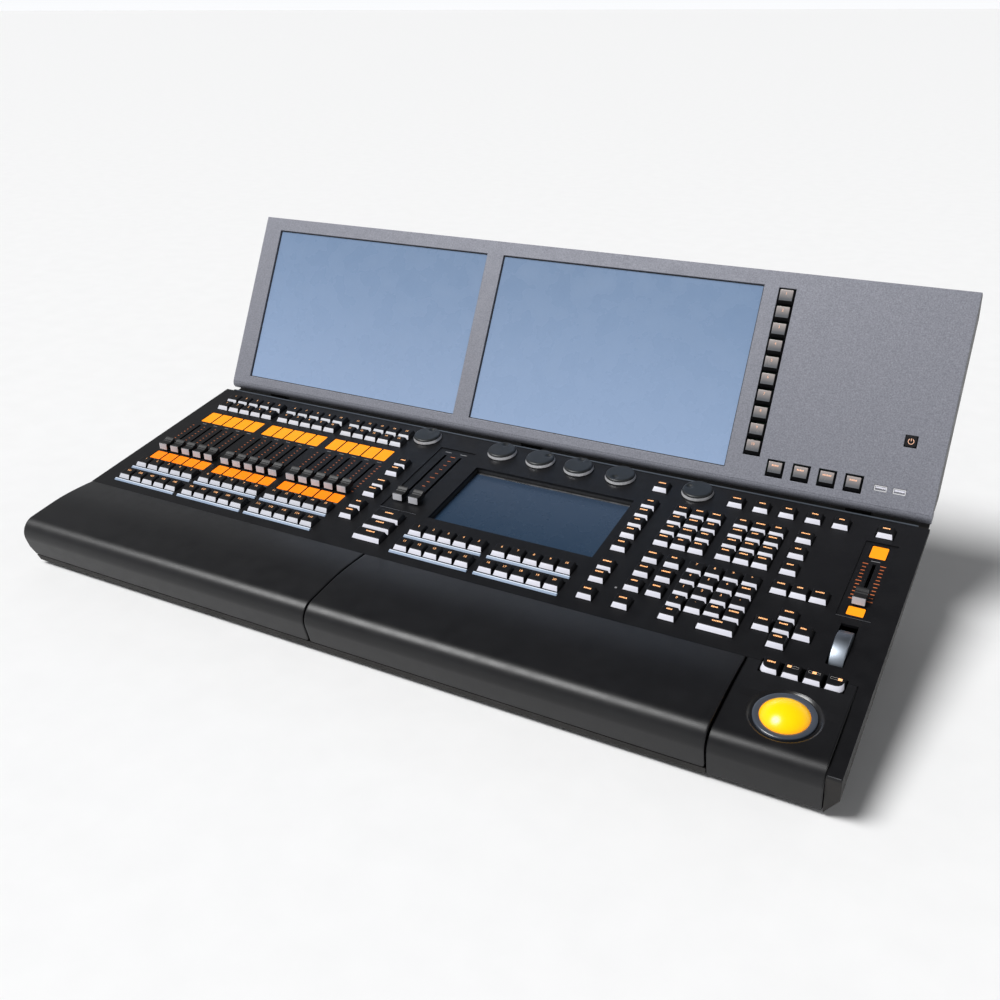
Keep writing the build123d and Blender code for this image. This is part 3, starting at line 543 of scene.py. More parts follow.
# the command screen's own dark blue-black, with a faint painted reflection that lightens towards its back
screen_dark = screen_material("screen_dark", (0.018, 0.040, 0.075), (0.030, 0.050, 0.085), PANEL,
                              command_screen)
socket_black = surface("socket_black", (0.015, 0.015, 0.016), 0.007, (0.4, 0.55), 1500, 0.15)
rubber = surface("foot_rubber", (0.018, 0.018, 0.018), 0.012, (0.75, 0.9), 900, 0.6, gloss=0.2)
board_green = surface("board_green", (0.02, 0.12, 0.05), (0.03, 0.16, 0.07), (0.4, 0.6), 600, 0.3)
ball_yellow_painted_glow = ball_material()


# ---- keys
def key_cap(width, depth, top_z, radii=(0.7,) * 4, white=(15,), top=0):
    """A cap with a skirt, a long slope at the front and a faintly dished top.

    white lists the segments of its outline that are light, and top is the look of its top.
    """
    def ring(inset_x, front, back, z, tighten=0.0):
        corners = tuple(max(corner - tighten, 0.1) for corner in radii)
        return rounded_ring(-width / 2 + inset_x, width / 2 - inset_x, front, depth - back, corners, z)

    def top_plane(rise):
        return lambda y: top_z - 0.5 + rise + 0.5 * (y - key_slope_run) / (depth - key_slope_run - 1.4)

    low = top_z - 0.5 - key_height
    rings = [
        ring(0, 0, 0, low - key_skirt),
        ring(0, 0, 0, low + 0.15),
        ring(0.05, 0.15, 0.03, low + 0.35),
        ring(key_side_run * 0.9, key_slope_run * 0.92, 1.25, top_plane(-0.42), 0.1),
        ring(key_side_run + 0.12, key_slope_run + 0.15, 1.5, top_plane(-0.1), 0.2),
        ring(key_side_run + 0.45, key_slope_run + 0.5, 1.8, top_plane(0.0), 0.3),
        ring(key_side_run + 2.5, key_slope_run + 2.5, 3.8, top_plane(-0.12), 0.4),
    ]
    special = {(2, segment): 1 for segment in white}
    special.update({(level, segment): top for level in (4, 5) for segment in range(len(rings[0]))})
    special["top"] = top
    return loft(rings, 0, special)


def legend_place(x, row, depth, top_z):
    """Where a legend sits on a cap: towards the back of its top, leaning back with it."""
    top_depth = depth - key_slope_run - 1.4
    lean = math.atan2(0.5, top_depth)
    middle = key_slope_run + top_depth * legend_share
    rise = top_z - 0.5 * (1 - legend_share) - 0.1
    return at(x, row + middle, rise) @ Matrix.Rotation(lean, 4, "X")


def numerals(first, count):
    return [str(first + index) for index in range(count)]


key_legends = {
    "playback_keys_upper": numerals(1, 15) + numerals(1, 15),
    "playback_keys_lower": numerals(101, 15) + numerals(1, 15),
    "executor_keys": numerals(11, 10) + numerals(1, 10),
    "number_keys": ["", "", "0", ".", "", "", "1", "2", "3", "-", "4", "5", "6", "", "7", "8", "9", "+"],
    "wing_view_keys": numerals(1, 10)[::-1],
}


def key_piece(node, paints, place=PANEL, top=0):
    """All the keys of one CAD node, with rounded caps, light slopes and legends."""
    shape, caps = Shape(), {}
    legends = key_legends.get(node)
    for index, (low, high) in enumerate(node_solids(node, place)):
        x, width, depth = (low.x + high.x) / 2, high.x - low.x, high.y - low.y
        size = (round(width, 2), round(depth, 2))
        if size not in caps:
            caps[size] = key_cap(width, depth, high.z, top=top)
        shape.add_shape(caps[size], at(x, low.y))
        spot = legend_place(x, low.y, depth, high.z)
        text = legends[index] if legends else ""
        if text:
            points, faces = glyph(text, numeral_height)
            shape.add(points, faces, 2, spot)
        else:
            length = dice.choice((6.5, 7.5, 8.5, 9.5)) if width < 20 else 11.0
            shape.add_shape(word_bar(length, word_height, 2), spot)
    make_piece(f"{node}_caps", shape, paints, node, (node,), place, sharp=32)


def trackball_key_piece():
    """The four keys over the trackball: rounded outer corners, and bars that show left, middle and right."""
    shape, node = Shape(), "trackball_keys"
    boxes = sorted(node_solids(node), key=lambda box: box[0].x)
    for index, (low, high) in enumerate(boxes):
        x, width, depth = (low.x + high.x) / 2, high.x - low.x, high.y - low.y
        radii, white = (0.7,) * 4, (15,)
        if index == 0:
            radii, white = (0.7, 0.7, 0.7, 6.5), (15, 14, 13, 12)
        if index == 3:
            radii, white = (6.5, 0.7, 0.7, 0.7), (15, 0, 1, 2)
        shape.add_shape(key_cap(width, depth, high.z, radii, white), at(x, low.y))
        spot = legend_place(x, low.y, depth, high.z)
        if index == 0:
            shape.add_shape(word_bar(8.0, 2.0, 2), spot)
            continue
        block_x = (index - 2) * 3.2
        shape.add_shape(slab(block_x - 1.8, block_x + 1.8, -1.5, 1.5, -print_depth, print_proud, 2), spot)
        for y in (-1.3, 1.15):
            shape.add_shape(slab(-5.2, 5.2, y, y + 0.15, -print_depth, print_proud * 0.6, 3), spot)
        for end in (-5.2, 5.05):
            shape.add_shape(slab(end, end + 0.15, -1.3, 1.3, -print_depth, print_proud * 0.6, 3), spot)
    paints = [key_black, key_white, legend_orange, legend_pale]
    make_piece(f"{node}_caps", shape, paints, node, (node,), sharp=32)


def build_keys():
    """Every key of the desk and the wing."""
    for node in ("playback_keys_upper", "playback_keys_lower"):
        key_piece(node, [key_black, key_pale, legend_orange])
    for node in ("page_keys", "executor_keys", "screen_side_keys", "command_keys", "edit_keys",
                 "number_keys", "cursor_keys"):
        key_piece(node, [key_black, key_white, legend_orange])
    trackball_key_piece()
    for node, smoke_and_reflection, slot in (("wing_view_keys", view_key_smoke_painted_reflection, "clear_key"),
                              ("wing_function_keys", function_key_smoke_painted_reflection, "key_cap")):
        key_piece(node, [key_black, key_black, legend_warm, smoke_and_reflection], WING, top=3)


def build_power_button():
    """Square button with a raised edge and a round power sign."""
    node = "power_button"
    (low, high), = node_solids(node, WING)
    x, y = (low.x + high.x) / 2, (low.y + high.y) / 2
    size = (high.x - low.x) / 2
    shape = rounded_block(x - size, x + size, y - size, y + size, -5, high.z, 1.6, 0.7)
    ring = []
    for radius, z in ((2.6, -print_depth), (2.6, print_proud), (3.2, print_proud), (3.2, -print_depth)):
        ring.append([(x + radius * math.cos(turn), y + radius * math.sin(turn), high.z + z)
                     for turn in (math.radians(120 + 300 * step / 24) for step in range(25))])
    shape.add_shape(loft(ring + [ring[0]], 1, caps=False, closed=False))
    shape.add_shape(slab(x - 0.3, x + 0.3, y + 0.4, y + 3.4, high.z - print_depth, high.z + print_proud, 1))
    make_piece(f"{node}_cap", shape, [key_black, legend_warm], node, (node,), WING)


# ---- faders, knobs, wheel and ball
def fader_section():
    """Outline of a fader cap from the side: a light front face, a dished and ribbed top."""
    outline = [(0.0, 0.0), (0.2, 0.5), (1.2, 6.9), (1.5, 7.5), (2.1, 7.8)]
    for index, y in enumerate((3.6, 6.0, 8.4, 10.8)):
        depth = 6.7 - 0.55 * (1.5 - abs(index - 1.5))
        outline += [(y, depth + 0.55), (y + 0.5, depth), (y + 1.2, depth), (y + 1.7, depth + 0.6)]
    return outline + [(14.6, 8.3), (16.2, 9.1), (16.8, 9.2), (17.2, 8.9), (17.6, 0.5), (17.5, 0.0)]


def fader_piece(node):
    """A fader cap on its lever; light at the front, dark and ribbed on top."""
    low, high = node_solids(node)[0]
    x, width = (low.x + high.x) / 2, high.x - low.x
    outline = fader_section()
    lift = high.z - 9.3
    middle_y = sum(y for y, _ in outline) / len(outline)
    middle_z = sum(z for _, z in outline) / len(outline)
    rings = []
    for side, inset in ((-1, 0.55), (-1, 0.16), (-1, 0.0), (1, 0.0), (1, 0.16), (1, 0.55)):
        edge = {0.55: 0.0, 0.16: 0.16, 0.0: 0.55}[inset]
        shrink = 1 - inset / 9
        rings.append([(x + side * (width / 2 - edge), low.y + middle_y + (y - middle_y) * shrink,
                       lift + middle_z + (z - middle_z) * shrink) for y, z in outline])
    special = {(level, segment): 1 for level in range(5) for segment in (0, 1, 2)}
    shape = loft(rings, 0, special)
    lever_y = (low.y + high.y) / 2
    shape.add_shape(slab(x - 0.7, x + 0.7, lever_y - 2.5, lever_y + 2.5, -17, lift + 1, 2))
    paints = [cap_black, cap_light, silver_plain]
    make_piece(f"{node}_cap", shape, paints, node, (node,), sharp=24)


def build_faders():
    """The playback faders, the two crossfaders and the master."""
    for index in range(15):
        fader_piece(f"fader_{index + 1:02d}")
    for node in ("crossfader_left", "crossfader_right", "master_fader"):
        fader_piece(node)


def knob_piece(index, place_x, dimple_turn):
    """Low encoder knob: a brushed skirt under a dark rounded top with a finger dimple."""
    profile = [(3.0, -8.0), (3.0, 0.9), (17.6, 0.6), (18.15, 0.75), (18.3, 1.2), (17.5, 4.2), (17.25, 4.25),
               (17.2, 4.5), (17.05, 5.1), (16.7, 5.7), (16.2, 6.15), (15.5, 6.4), (14.8, knob_top)]
    profile += [(radius, knob_top) for radius in (13.6, 12.2, 10.8, 9.4, 8.0, 6.6, 5.2, 3.8, 2.4, 1.0)]
    shape = lathe(profile, 120, 0, {level: 1 for level in (2, 3, 4)})
    turn = math.radians(dimple_turn)
    dimple = Vector((dimple_place * math.cos(turn), dimple_place * math.sin(turn)))
    for point in shape.points:
        reach = (point.xy - dimple).length / dimple_radius
        if point.z > knob_top - 0.2 and reach < 1:
            point.z -= dimple_depth * (1 - reach**2) ** 1.5
    shape = Shape().add_shape(shape, at(from_left(place_x), knob_row))
    node = f"encoder_knob_{index + 1}"
    make_piece(f"{node}_turned", shape, [knob_black, knob_silver], node, (node,), sharp=30)


def build_knobs():
    """Six encoder knobs, each turned its own way."""
    for index, (place_x, turn) in enumerate(zip(knob_columns, knob_turns)):
        knob_piece(index, place_x, turn)


def build_wheel():
    """Thumb wheel with a softly rounded tread and a fine knurl."""
    rings, steps = [], 240
    side = [(3.0, 13.0), (3.0, 7.5), (24.0, 7.5), (27.0, 7.3), (29.2, 7.0), (29.8, 6.5), (wheel_radius, 5.8)]
    profile = [(reach, -z) for reach, z in side] + side[::-1]
    for reach, z in profile:
        knurl = 0.10 if reach == wheel_radius else 0.0
        ring = []
        for step in range(steps):
            radius, angle = reach - knurl * (step % 2), 2 * math.pi * step / steps
            ring.append((radius * math.cos(angle), radius * math.sin(angle), z))
        rings.append(ring)
    place = at(from_left(master_place), wheel_row, wheel_top - wheel_radius) @ turned(90, "Y")
    shape = Shape().add_shape(loft(rings), place)
    make_piece("level_wheel_tread", shape, [wheel_satin], "level_wheel", ("level_wheel",), sharp=30)


def build_ball():
    """The ball, its blue-grey collar with a bright lip that is a painted highlight, and the cup under it."""
    ball_radius = 28.5
    centre_z = ring_top - math.sqrt(ball_radius**2 - 21.2**2)
    place = at(from_left(ball_place), ball_row)
    profile = [(max(x, 0.05), centre_z + y) for x, y in arc((0, 0), ball_radius, -89.9, 89.9, 72)]
    shape = Shape().add_shape(lathe(profile, 128), place)
    make_piece("trackball_ball", shape, [ball_yellow_painted_glow], "trackball", ("trackball",), sharp=60)
    collar = [(ring_radius, -6.0), (ring_radius, 1.4), (27.5, 2.1), (26.9, 2.45), (26.0, ring_top),
              (23.6, 2.5), (22.7, 2.1), (22.4, 2.0), (21.9, 1.95), (21.75, 1.6), (21.9, 0.6), (22.6, -0.8),
              (24.4, -3.2), (26.2, -6.0)]
    # painted highlight: two bands round the collar's inner lip are bright turned metal
    shape = Shape().add_shape(lathe(collar + [collar[0]], 128, 0, {7: 1, 8: 1}), place)
    cup_low = math.degrees(math.asin((-6.0 - centre_z) / (ball_radius + 2.4)))
    outer = arc((0, centre_z), ball_radius + 2.4, -89.5, cup_low, 20)
    inner = arc((0, centre_z), ball_radius + 0.3, cup_low, -89.5, 20)
    shape.add_shape(lathe(outer + inner, 64, 2), place)
    make_piece("trackball_collar", shape, [ring_blue, silver_turned, socket_black], "console",
               ("trackball_ring",))


# ---- palm rests and trackball housing
def rest_outline(crown, inset, bottom, front_foot=0.5):
    """Side outline of a rest, drawn in by inset: a low hump, a round nose and a straight front."""
    radius = nose_radius - (palm_crown - crown) / 2
    centre = (radius - nose_overhang, crown - radius)
    hump = []
    steps = 14
    for step in range(steps + 1):
        part = step / steps
        y = palm_depth + (palm_depth * 0.42 - palm_depth) * part
        rise = crown * math.sin(part * math.pi / 2)
        hump.append((y - inset * (1 - part), rise - inset))
    reach = Vector((front_foot - centre[0], bottom - centre[1]))
    tangent = math.degrees(math.atan2(-reach.y, -reach.x) + math.pi - math.acos(radius / reach.length))
    nose = arc(centre, radius - inset, 90, tangent, 18)
    front = [(front_foot + inset, bottom + inset)]
    back = [(palm_depth - inset, bottom + inset)]
    return hump + nose + front + back


def rest_shape(x0, x1, crown, bottom, lower_corner=3.5):
    """A rest between two ends, with softened end edges and rounded lower corners."""
    edge = 1.1
    stations = []
    for step in range(5):
        turn = math.radians(90 * step / 4)
        stations.append((edge * (1 - math.cos(turn)), edge * (1 - math.sin(turn))))
    stations += [(lower_corner * 0.6, 0.0), (lower_corner, 0.0)]

    def ring(x, distance, inset):
        lift = 0.0
        if distance < lower_corner:
            lift = lower_corner - math.sqrt(lower_corner**2 - (lower_corner - distance) ** 2)
        return [(x, y, z) for y, z in rest_outline(crown, inset, bottom + lift)]

    rings = [ring(x0 + distance, distance, inset) for distance, inset in stations]
    rings += [ring(x1 - distance, distance, inset) for distance, inset in reversed(stations)]
    return loft(rings)


def cut_left_corner(work):
    """Takes the slanted lower corner off the rest at the left end of the desk."""
    across = Vector((corner_cut_in, 0, -corner_drop))
    along = Vector((0, panel_depth, corner_rise))
    normal = (PANEL.to_3x3() @ along.cross(across)).normalized()
    geometry = list(work.verts) + list(work.edges) + list(work.faces)
    start = PANEL @ Vector((-half, 0, corner_top_front))
    made = bmesh.ops.bisect_plane(work, geom=geometry, plane_co=start, plane_no=normal, clear_outer=True)
    cut = [part for part in made["geom_cut"] if isinstance(part, bmesh.types.BMEdge)]
    bmesh.ops.edgenet_fill(work, edges=cut)


def cut_with(piece, cutters):
    """Cuts closed shapes out of a piece and keeps the result as its mesh."""
    for cutter in cutters:
        tool = piece.modifiers.new("cut", "BOOLEAN")
        tool.operation = "DIFFERENCE"
        tool.solver = "EXACT"
        tool.object = cutter
    bpy.context.view_layer.update()
    result = bpy.data.meshes.new_from_object(piece.evaluated_get(bpy.context.evaluated_depsgraph_get()))
    piece.modifiers.clear()
    piece.data = result
    for cutter in cutters:
        bpy.data.objects.remove(cutter)
    edit_mesh(result, smooth_up_to(32))


def cutter_object(shape, paint, place=PANEL):
    """A loose object used to cut another piece."""
    mesh = new_mesh("cutter", shape, [paint], place)
    edit_mesh(mesh, face_outwards)
    return new_object("cutter", mesh)


def build_rests():
    """Two palm rests and the trackball housing, with its shallow dish and its key well."""
    left_end, centre_end = from_left(left_rest_end), from_left(centre_rest_end)
    left = rest_shape(-half, left_end, palm_crown, palm_bottom)
    make_piece("left_palm_rest_shell", left, [rest_black], "console", ("left_palm_rest",),
               cuts=[cut_left_corner])
    centre = rest_shape(left_end + groove, centre_end, palm_crown, palm_bottom)
    make_piece("centre_palm_rest_shell", centre, [rest_black], "console", ("centre_palm_rest",))
    right_end = from_left(housing_end) - 0.3
    housing = rest_shape(centre_end + groove, right_end, housing_crown, -front_height + 0.3, 0.8)
    piece = make_piece("trackball_housing_shell", housing, [rest_black, dish_gloss], "console",
                       ("trackball_housing",))
    dish = [(0.1, -12.0), (28.1, -12.0), (28.1, 0.4), (28.9, 0.5), (30.3, 1.3), (31.4, 2.3), (32.3, 3.0),
            (33.4, 3.35), (33.6, 9.0), (0.1, 9.0)]
    place = PANEL @ at(from_left(ball_place), ball_row)
    middle = node_middle("trackball_keys")
    well = slab(middle.x - 38.8, middle.x + 38.8, middle.y - 9.5, palm_depth + 5, -20, 20)
    cut_with(piece, [cutter_object(lathe(dish, 128), dish_gloss, place), cutter_object(well, rest_black)])


def node_middle(node):
    """The middle of a CAD node in the panel frame."""
    low, high = box_of([corner for box in node_solids(node) for corner in box])
    return (low + high) / 2


# ---- prints, bars and displays on the panel
def build_displays():
    """Amber display windows with rounded corners and dark sides, with thin dark gaps between them."""
    shape = Shape()
    gap = 0.5
    for low, high in node_solids("label_displays"):
        deep = 1 if low.y < 230 and low.x < from_left(400) else 0
        window = rounded_block(low.x + gap, high.x - gap, low.y, high.y, low.z, high.z, 1.6, 0.25, 2, deep)
        shape.add_shape(window)
    make_piece("label_display_windows", shape, [amber, amber_deep, socket_black], "console",
               ("label_displays",))


def build_bars():
    """Raised light bars with a sloping front edge and rounded ends, and a dark step behind."""
    shape = Shape()
    for low, high in node_solids("light_bars"):
        def ring(inset, y0, y1, z):
            return rounded_ring(low.x + inset, high.x - inset, y0, y1, 0.6, z)

        back = high.y - 1.3
        rings = [ring(0, low.y, back, low.z), ring(0, low.y, back, 0.1),
                 ring(0.2, low.y + 1.4, back, high.z - 0.15), ring(0.45, low.y + 1.8, back - 0.2, high.z)]
        shape.add_shape(loft(rings, 2, {"top": 0}))
        shape.add_shape(slab(low.x, high.x, back, high.y, low.z, 0.1, 1))
    make_piece("light_bar_lenses", shape, [bar_white, socket_black, bar_blue], "console",
               ("light_bars",))


def print_dash(shape, x, y, width, depth, look, base=0.0):
    """One printed mark, lying on the panel."""
    shape.add_shape(slab(x - width / 2, x + width / 2, y - depth / 2, y + depth / 2, base - print_depth,
                         base + print_proud, look))


def build_prints():
    """Scale marks beside the faders, and fine bright metal lines that are painted highlights on the front
    edges of the recesses and of the panel's right strip.
    """
    shape = Shape()
    faders = [from_left(group + step * key_pitch) for group in fader_groups for step in range(-2, 3)]
    columns = [(x - 9.5, 2.2) for x in faders] + [(faders[-1] + 9.5, 3.0)]
    for x, width in columns:
        for mark in range(11):
            print_dash(shape, x, fader_rest + fader_travel * mark / 10, width, 1.0, 0)
    for x in faders:
        print_dash(shape, x + 3.6, 280.6, 6.5, 0.7, 1)
        print_dash(shape, x + 5.0, 183.4, 5.0, 0.5, 1)
    for mark in range(8):
        width = 6.4 if mark in (0, 5) else 4.2
        print_dash(shape, from_left(409.2), 325.1 - 69.4 * mark / 7, width, 1.0, 0, -1)
    for x in (from_left(397.6), from_left(419.3)):
        print_dash(shape, x, 334.0, 9.0, 1.0, 1, -1)
    for x in (from_left(917.0), from_left(934.5)):
        for mark in range(11):
            print_dash(shape, x, 293.5 - 6.03 * mark, 5.6 if mark in (0, 5, 10) else 4.0, 1.2, 0, -1)
    print_dash(shape, from_left(master_place), 299.5, 9.0, 0.8, 1, -1)
    # painted highlights: thin metal lines along the front edges of the crossfader and master recesses
    for x0, x1, y in ((383.5, 433.2, 199.0), (909.3, 942.2, 202.1)):
        print_dash(shape, from_left((x0 + x1) / 2), y, x1 - x0, 0.5, 2)
    dot = lathe([(0.05, -print_depth), (1.3, -print_depth), (1.3, print_proud), (0.05, print_proud)], 24, 1)
    shape.add_shape(dot, at(from_left(699.0), wheel_row))
    # painted highlight: a thin metal line along the front edge of the panel's right strip
    print_dash(shape, from_left(958.4), 0.5, 11.0, 0.8, 2)
    make_piece("panel_prints", shape, [mark_rust, mark_grey, silver_plain], "console")


def build_trim():
    """Narrow steel-blue strip along the back edge of the panel, and dark strips under the wing's edge."""
    boxes = sorted(node_solids("rear_trim"), key=lambda box: box[0].x - box[1].x)
    (low, high), closing = boxes[0], boxes[1:]
    height, middle = (high.z - low.z) / 2, (high.z + low.z) / 2
    rings = []
    for x, shrink in ((low.x, 0.6), (low.x + 0.6, 1.0), (high.x - 0.6, 1.0), (high.x, 0.6)):
        outline = [(low.y, 1), (low.y, -1), (high.y, -1), (high.y, 0.55), (high.y - 0.35, 0.85),
                   (high.y - 0.9, 1)]
        rings.append([(x, y, middle + height * shrink * part) for y, part in outline])
    shape = loft(rings)
    for first, last in closing:
        shape.add_shape(slab(first.x, last.x, first.y, last.y, first.z, last.z, 1))
    make_piece("rear_trim_strip", shape, [trim_steel, tray_black], "console", ("rear_trim",))


# ---- screens and wing
def plate_with_holes(x0, x1, y0, y1, holes, z0, z1, edge):
    """A flat plate with rectangular holes whose upper edges are softened."""
    xs = sorted({x0, x1, *[hole[0] for hole in holes], *[hole[1] for hole in holes]})
    ys = sorted({y0, y1, *[hole[2] for hole in holes], *[hole[3] for hole in holes]})
    work = bmesh.new()
    grid = [[work.verts.new((x, y, z1)) for y in ys] for x in xs]
    for i in range(len(xs) - 1):
        for j in range(len(ys) - 1):
            middle = ((xs[i] + xs[i + 1]) / 2, (ys[j] + ys[j + 1]) / 2)
            if any(a < middle[0] < b and c < middle[1] < d for a, b, c, d in holes):
                continue
            work.faces.new((grid[i][j], grid[i + 1][j], grid[i + 1][j + 1], grid[i][j + 1]))
    bmesh.ops.delete(work, geom=[v for v in work.verts if not v.link_faces], context="VERTS")
    made = bmesh.ops.extrude_face_region(work, geom=list(work.faces))
    for part in made["geom"]:
        if isinstance(part, bmesh.types.BMVert):
            part.co.z = z0
    bmesh.ops.recalc_face_normals(work, faces=work.faces)
    rim = [e for e in work.edges if e.calc_face_angle(0) > 1.0 and all(v.co.z > z1 - 0.01 for v in e.verts)]
    bmesh.ops.bevel(work, geom=rim, offset=edge, segments=2, profile=0.5, affect="EDGES")
    work.verts.index_update()
    faces = [[v.index for v in face.verts] for face in work.faces]
    shape = Shape().add([v.co.copy() for v in work.verts], faces)
    work.free()
    return shape


def build_wing_face():
    """Grey face of the wing, with softened edges round its screens, keys and sockets."""
    def hole(x, y, half_width, half_height):
        return (x - half_width, x + half_width, y - half_height, y + half_height)

    low = first_view_row - key_pitch / 2
    view_x = from_left(view_column)
    holes = [left_screen, right_screen]
    holes.append((view_x - wing_key_half, view_x + wing_key_half, low, low + 10 * key_pitch))
    for index in range(4):
        x = from_left(function_column + function_pitch * index)
        holes.append(hole(x, function_row, wing_key_half, wing_key_half))
    holes.append(hole(from_left(power_column), power_row, power_half, power_half))
    holes += [hole(from_left(column), socket_row, 6.8, 3.2) for column in socket_columns]
    shape = plate_with_holes(-wing_half, wing_half, 8.0, wing_height, holes, -wing_plate, 0, 0.45)
    make_piece("wing_face_plate", shape, [wing_grey], "screen_wing", ("wing_front_panel",),
               WING, sharp=12)


def build_wing_lip():
    """Round lower edge of the wing, hollowed out behind at each hinge arm, on its three pins."""
    centre, radius, notch_half = (8.0, -8.0), 8.0, 15.0
    foot = [(14.5, -2.5), (8.0, -2.5)]
    front = [(8.0, 0.0)] + arc(centre, radius, 90, 172, 11)
    whole = front + arc(centre, radius, 180, 270, 12) + [(13.0, -16.0), (13.0, -13.5), (14.5, -13.5)] + foot
    notched = front + arc(centre, 4.8, 172, -20, 20) + [(14.5, -10.37)] + foot
    shape = Shape()
    stops = [-wing_half]
    for middle in hinge_places:
        stops += [middle - notch_half, middle + notch_half]
        pin = lathe([(0.1, -28.0), (1.7, -28.0), (2.0, -27.6), (2.0, 27.6), (1.7, 28.0), (0.1, 28.0)], 32, 1)
        shape.add_shape(pin, at(middle, *centre) @ turned(90, "Y"))
    stops.append(wing_half)
    for index in range(len(stops) - 1):
        x0, x1 = stops[index], stops[index + 1]
        outline = notched if index % 2 else whole
        rings = []
        for x, inset in ((x0, 0.5), (x0 + 0.5, 0.0), (x1 - 0.5, 0.0), (x1, 0.5)):
            shrink = 1 - inset / radius if abs(x) == wing_half else 1
            rings.append([(x, centre[0] + (y - centre[0]) * shrink, centre[1] + (z - centre[1]) * shrink)
                          for y, z in outline])
        shape.add_shape(loft(rings))
    make_piece("wing_lip_bar", shape, [wing_grey, silver_plain], "screen_wing",
               ("wing_barrel",), WING)


def build_wing_screens():
    """The two big screens behind the wing's face: a dark border round a slightly raised glass field, painted
    pale as a reflection.
    """
    shape = Shape()
    face = -wing_plate - 0.1

    def grown(x0, x1, y0, y1, by):
        return (x0 - by, x1 + by, y0 - by, y1 + by)

    for screen in (left_screen, right_screen):
        shape.add_shape(rounded_block(*grown(*screen, 1.8), -wing_plate - 9, face, 1.5, 0.2, 1))
        shape.add_shape(rounded_block(*grown(*screen, -1.2), face - 0.3, face + 0.12, 0.8, 0.1))
    make_piece("wing_screen_modules", shape, [screen_pale, socket_black], "screen_wing",
               ("wing_screens",), WING)


def build_command_screen():
    """The small screen, sunk in the panel, with a bright metal edge at its back."""
    x0, x1, y0, y1 = command_screen
    rim = 3.9
    shape = rounded_block(x0 - rim, x1 + rim, y0 - rim, y1 + rim, -13.9, -7.7, 1.0, 0.2, 1)
    shape.add_shape(rounded_block(x0 + 1.0, x1 - 1.0, y0 + 1.0, y1 - 3.6, -8.0, -7.45, 0.6, 0.1, 0))
    shape.add_shape(slab(x0 + 1.0, x1 - 1.0, y1 - 3.4, y1 - 1.6, -8.0, -7.2, 2))
    for side in ((x0 - rim, x1 + rim, y0 - rim, y0), (x0 - rim, x1 + rim, y1, y1 + rim),
                 (x0 - rim, x0, y0, y1), (x1, x1 + rim, y0, y1)):
        shape.add_shape(slab(*side, -8.0, -3.05, 1))
    make_piece("command_screen_module", shape, [screen_dark, socket_black, silver_plain], "console",
               ("command_screen",))


def build_usb():
    """Two data sockets: a folded bright shell with spring slots, brightened by a painted glow, and a pale
    tongue with contacts.
    """
    shape = Shape()
    y = socket_row
    for x in map(from_left, socket_columns):
        rings = []
        for inset, z in ((0, -14), (0, -0.55), (0.1, -0.4), (0.75, -0.4), (0.9, -0.6), (0.9, -12)):
            rings.append(rounded_ring(x - 6.6 + inset, x + 6.6 - inset, y - 3.0 + inset, y + 3.0 - inset,
                                      max(0.6 - inset, 0.1), z))
        shape.add_shape(loft(rings))
        shape.add_shape(rounded_block(x - 5.3, x + 5.3, y - 0.1, y + 1.9, -12.2, -1.2, 0.2, 0.1, 1))
        for contact in range(4):
            cx = x - 3.6 + 2.4 * contact
            shape.add_shape(slab(cx - 0.5, cx + 0.5, y - 0.2, y - 0.05, -8, -1.6, 2))
    shape.add_shape(slab(from_left(750), from_left(940), 20, 236, -15.6, -14.05, 3))
    paints = [shell_metal_painted_glow, key_white, silver_turned, board_green]
    make_piece("wing_socket_shells", shape, paints, "screen_wing", ("wing_sockets",), WING)


# ---- back, underside and screws
def screw(shape, place, radius):
    """A low pan-head screw with a cross recess, standing on a surface."""
    head = lathe([(0.05, -0.4), (radius, -0.4), (radius, 0.1), (radius * 0.92, 0.5), (radius * 0.7, 0.85),
                  (radius * 0.4, 1.0), (0.05, 1.05)], 24)
    shape.add_shape(head, place)
    for turn in (0, 90):
        bar = slab(-radius * 0.6, radius * 0.6, -0.28, 0.28, 0.75, 1.12, 1)
        shape.add_shape(bar, place @ turned(turn + 20, "Z"))


def screw_piece(name, spots, body="console", place=DESK):
    """A piece that gathers screws; each spot gives a screw's place and radius."""
    shape = Shape()
    for spot, radius in spots:
        screw(shape, spot, radius)
    make_piece(name, shape, [screw_steel, socket_black], body, place=place)


def build_screws():
    """Screws on the back panel and round its sockets, under the tray, and round the back of the wing."""
    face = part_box("rear_panel")[1].y * 1000
    backwards, downwards = turned(-90, "X"), turned(180, "X")
    inner = (-380, 30, 160, 290, 400)
    spots = []
    for z, row in ((15.0, inner), (106.0, (-470, *inner, 470))):
        spots += [(at(x, face, z) @ backwards, 2.6) for x in row]
    for index in range(8):
        for side in (-1, 1):
            x = -330.0 + 42.0 * index + side * 10.0
            spots.append((at(x, face + 2.0, 62.0 - side * 12.8) @ backwards, 1.5))
    screw_piece("rear_screws", spots)
    columns = range(-2, 3)
    spots = [(at(204.6 * column, y, foot_height) @ downwards, 3.0) for column in columns for y in (-190, 60)]
    screw_piece("tray_screws", spots)
    spots = [(at(230 * column, y, wing_back) @ downwards, 2.6) for column in columns for y in (44, 215)]
    screw_piece("wing_back_screws", spots, "screen_wing", WING)


def build_feet():
    """Rubber feet with a rounded rim and a recessed screw."""
    shape = Shape()
    for low, high in node_solids("rubber_feet", DESK):
        middle = (low + high) / 2
        profile = [(0.05, 2.2), (3.0, 2.2), (3.2, 0.3), (3.6, 0.0), (9.6, 0.0), (10.4, 0.3), (10.8, 1.0),
                   (11.0, foot_height), (0.05, foot_height)]
        shape.add_shape(lathe(profile, 48, 0, {0: 1}), at(middle.x, middle.y))
    make_piece("rubber_feet_moulded", shape, [rubber, screw_steel], "console",
               ("rubber_feet",), DESK)


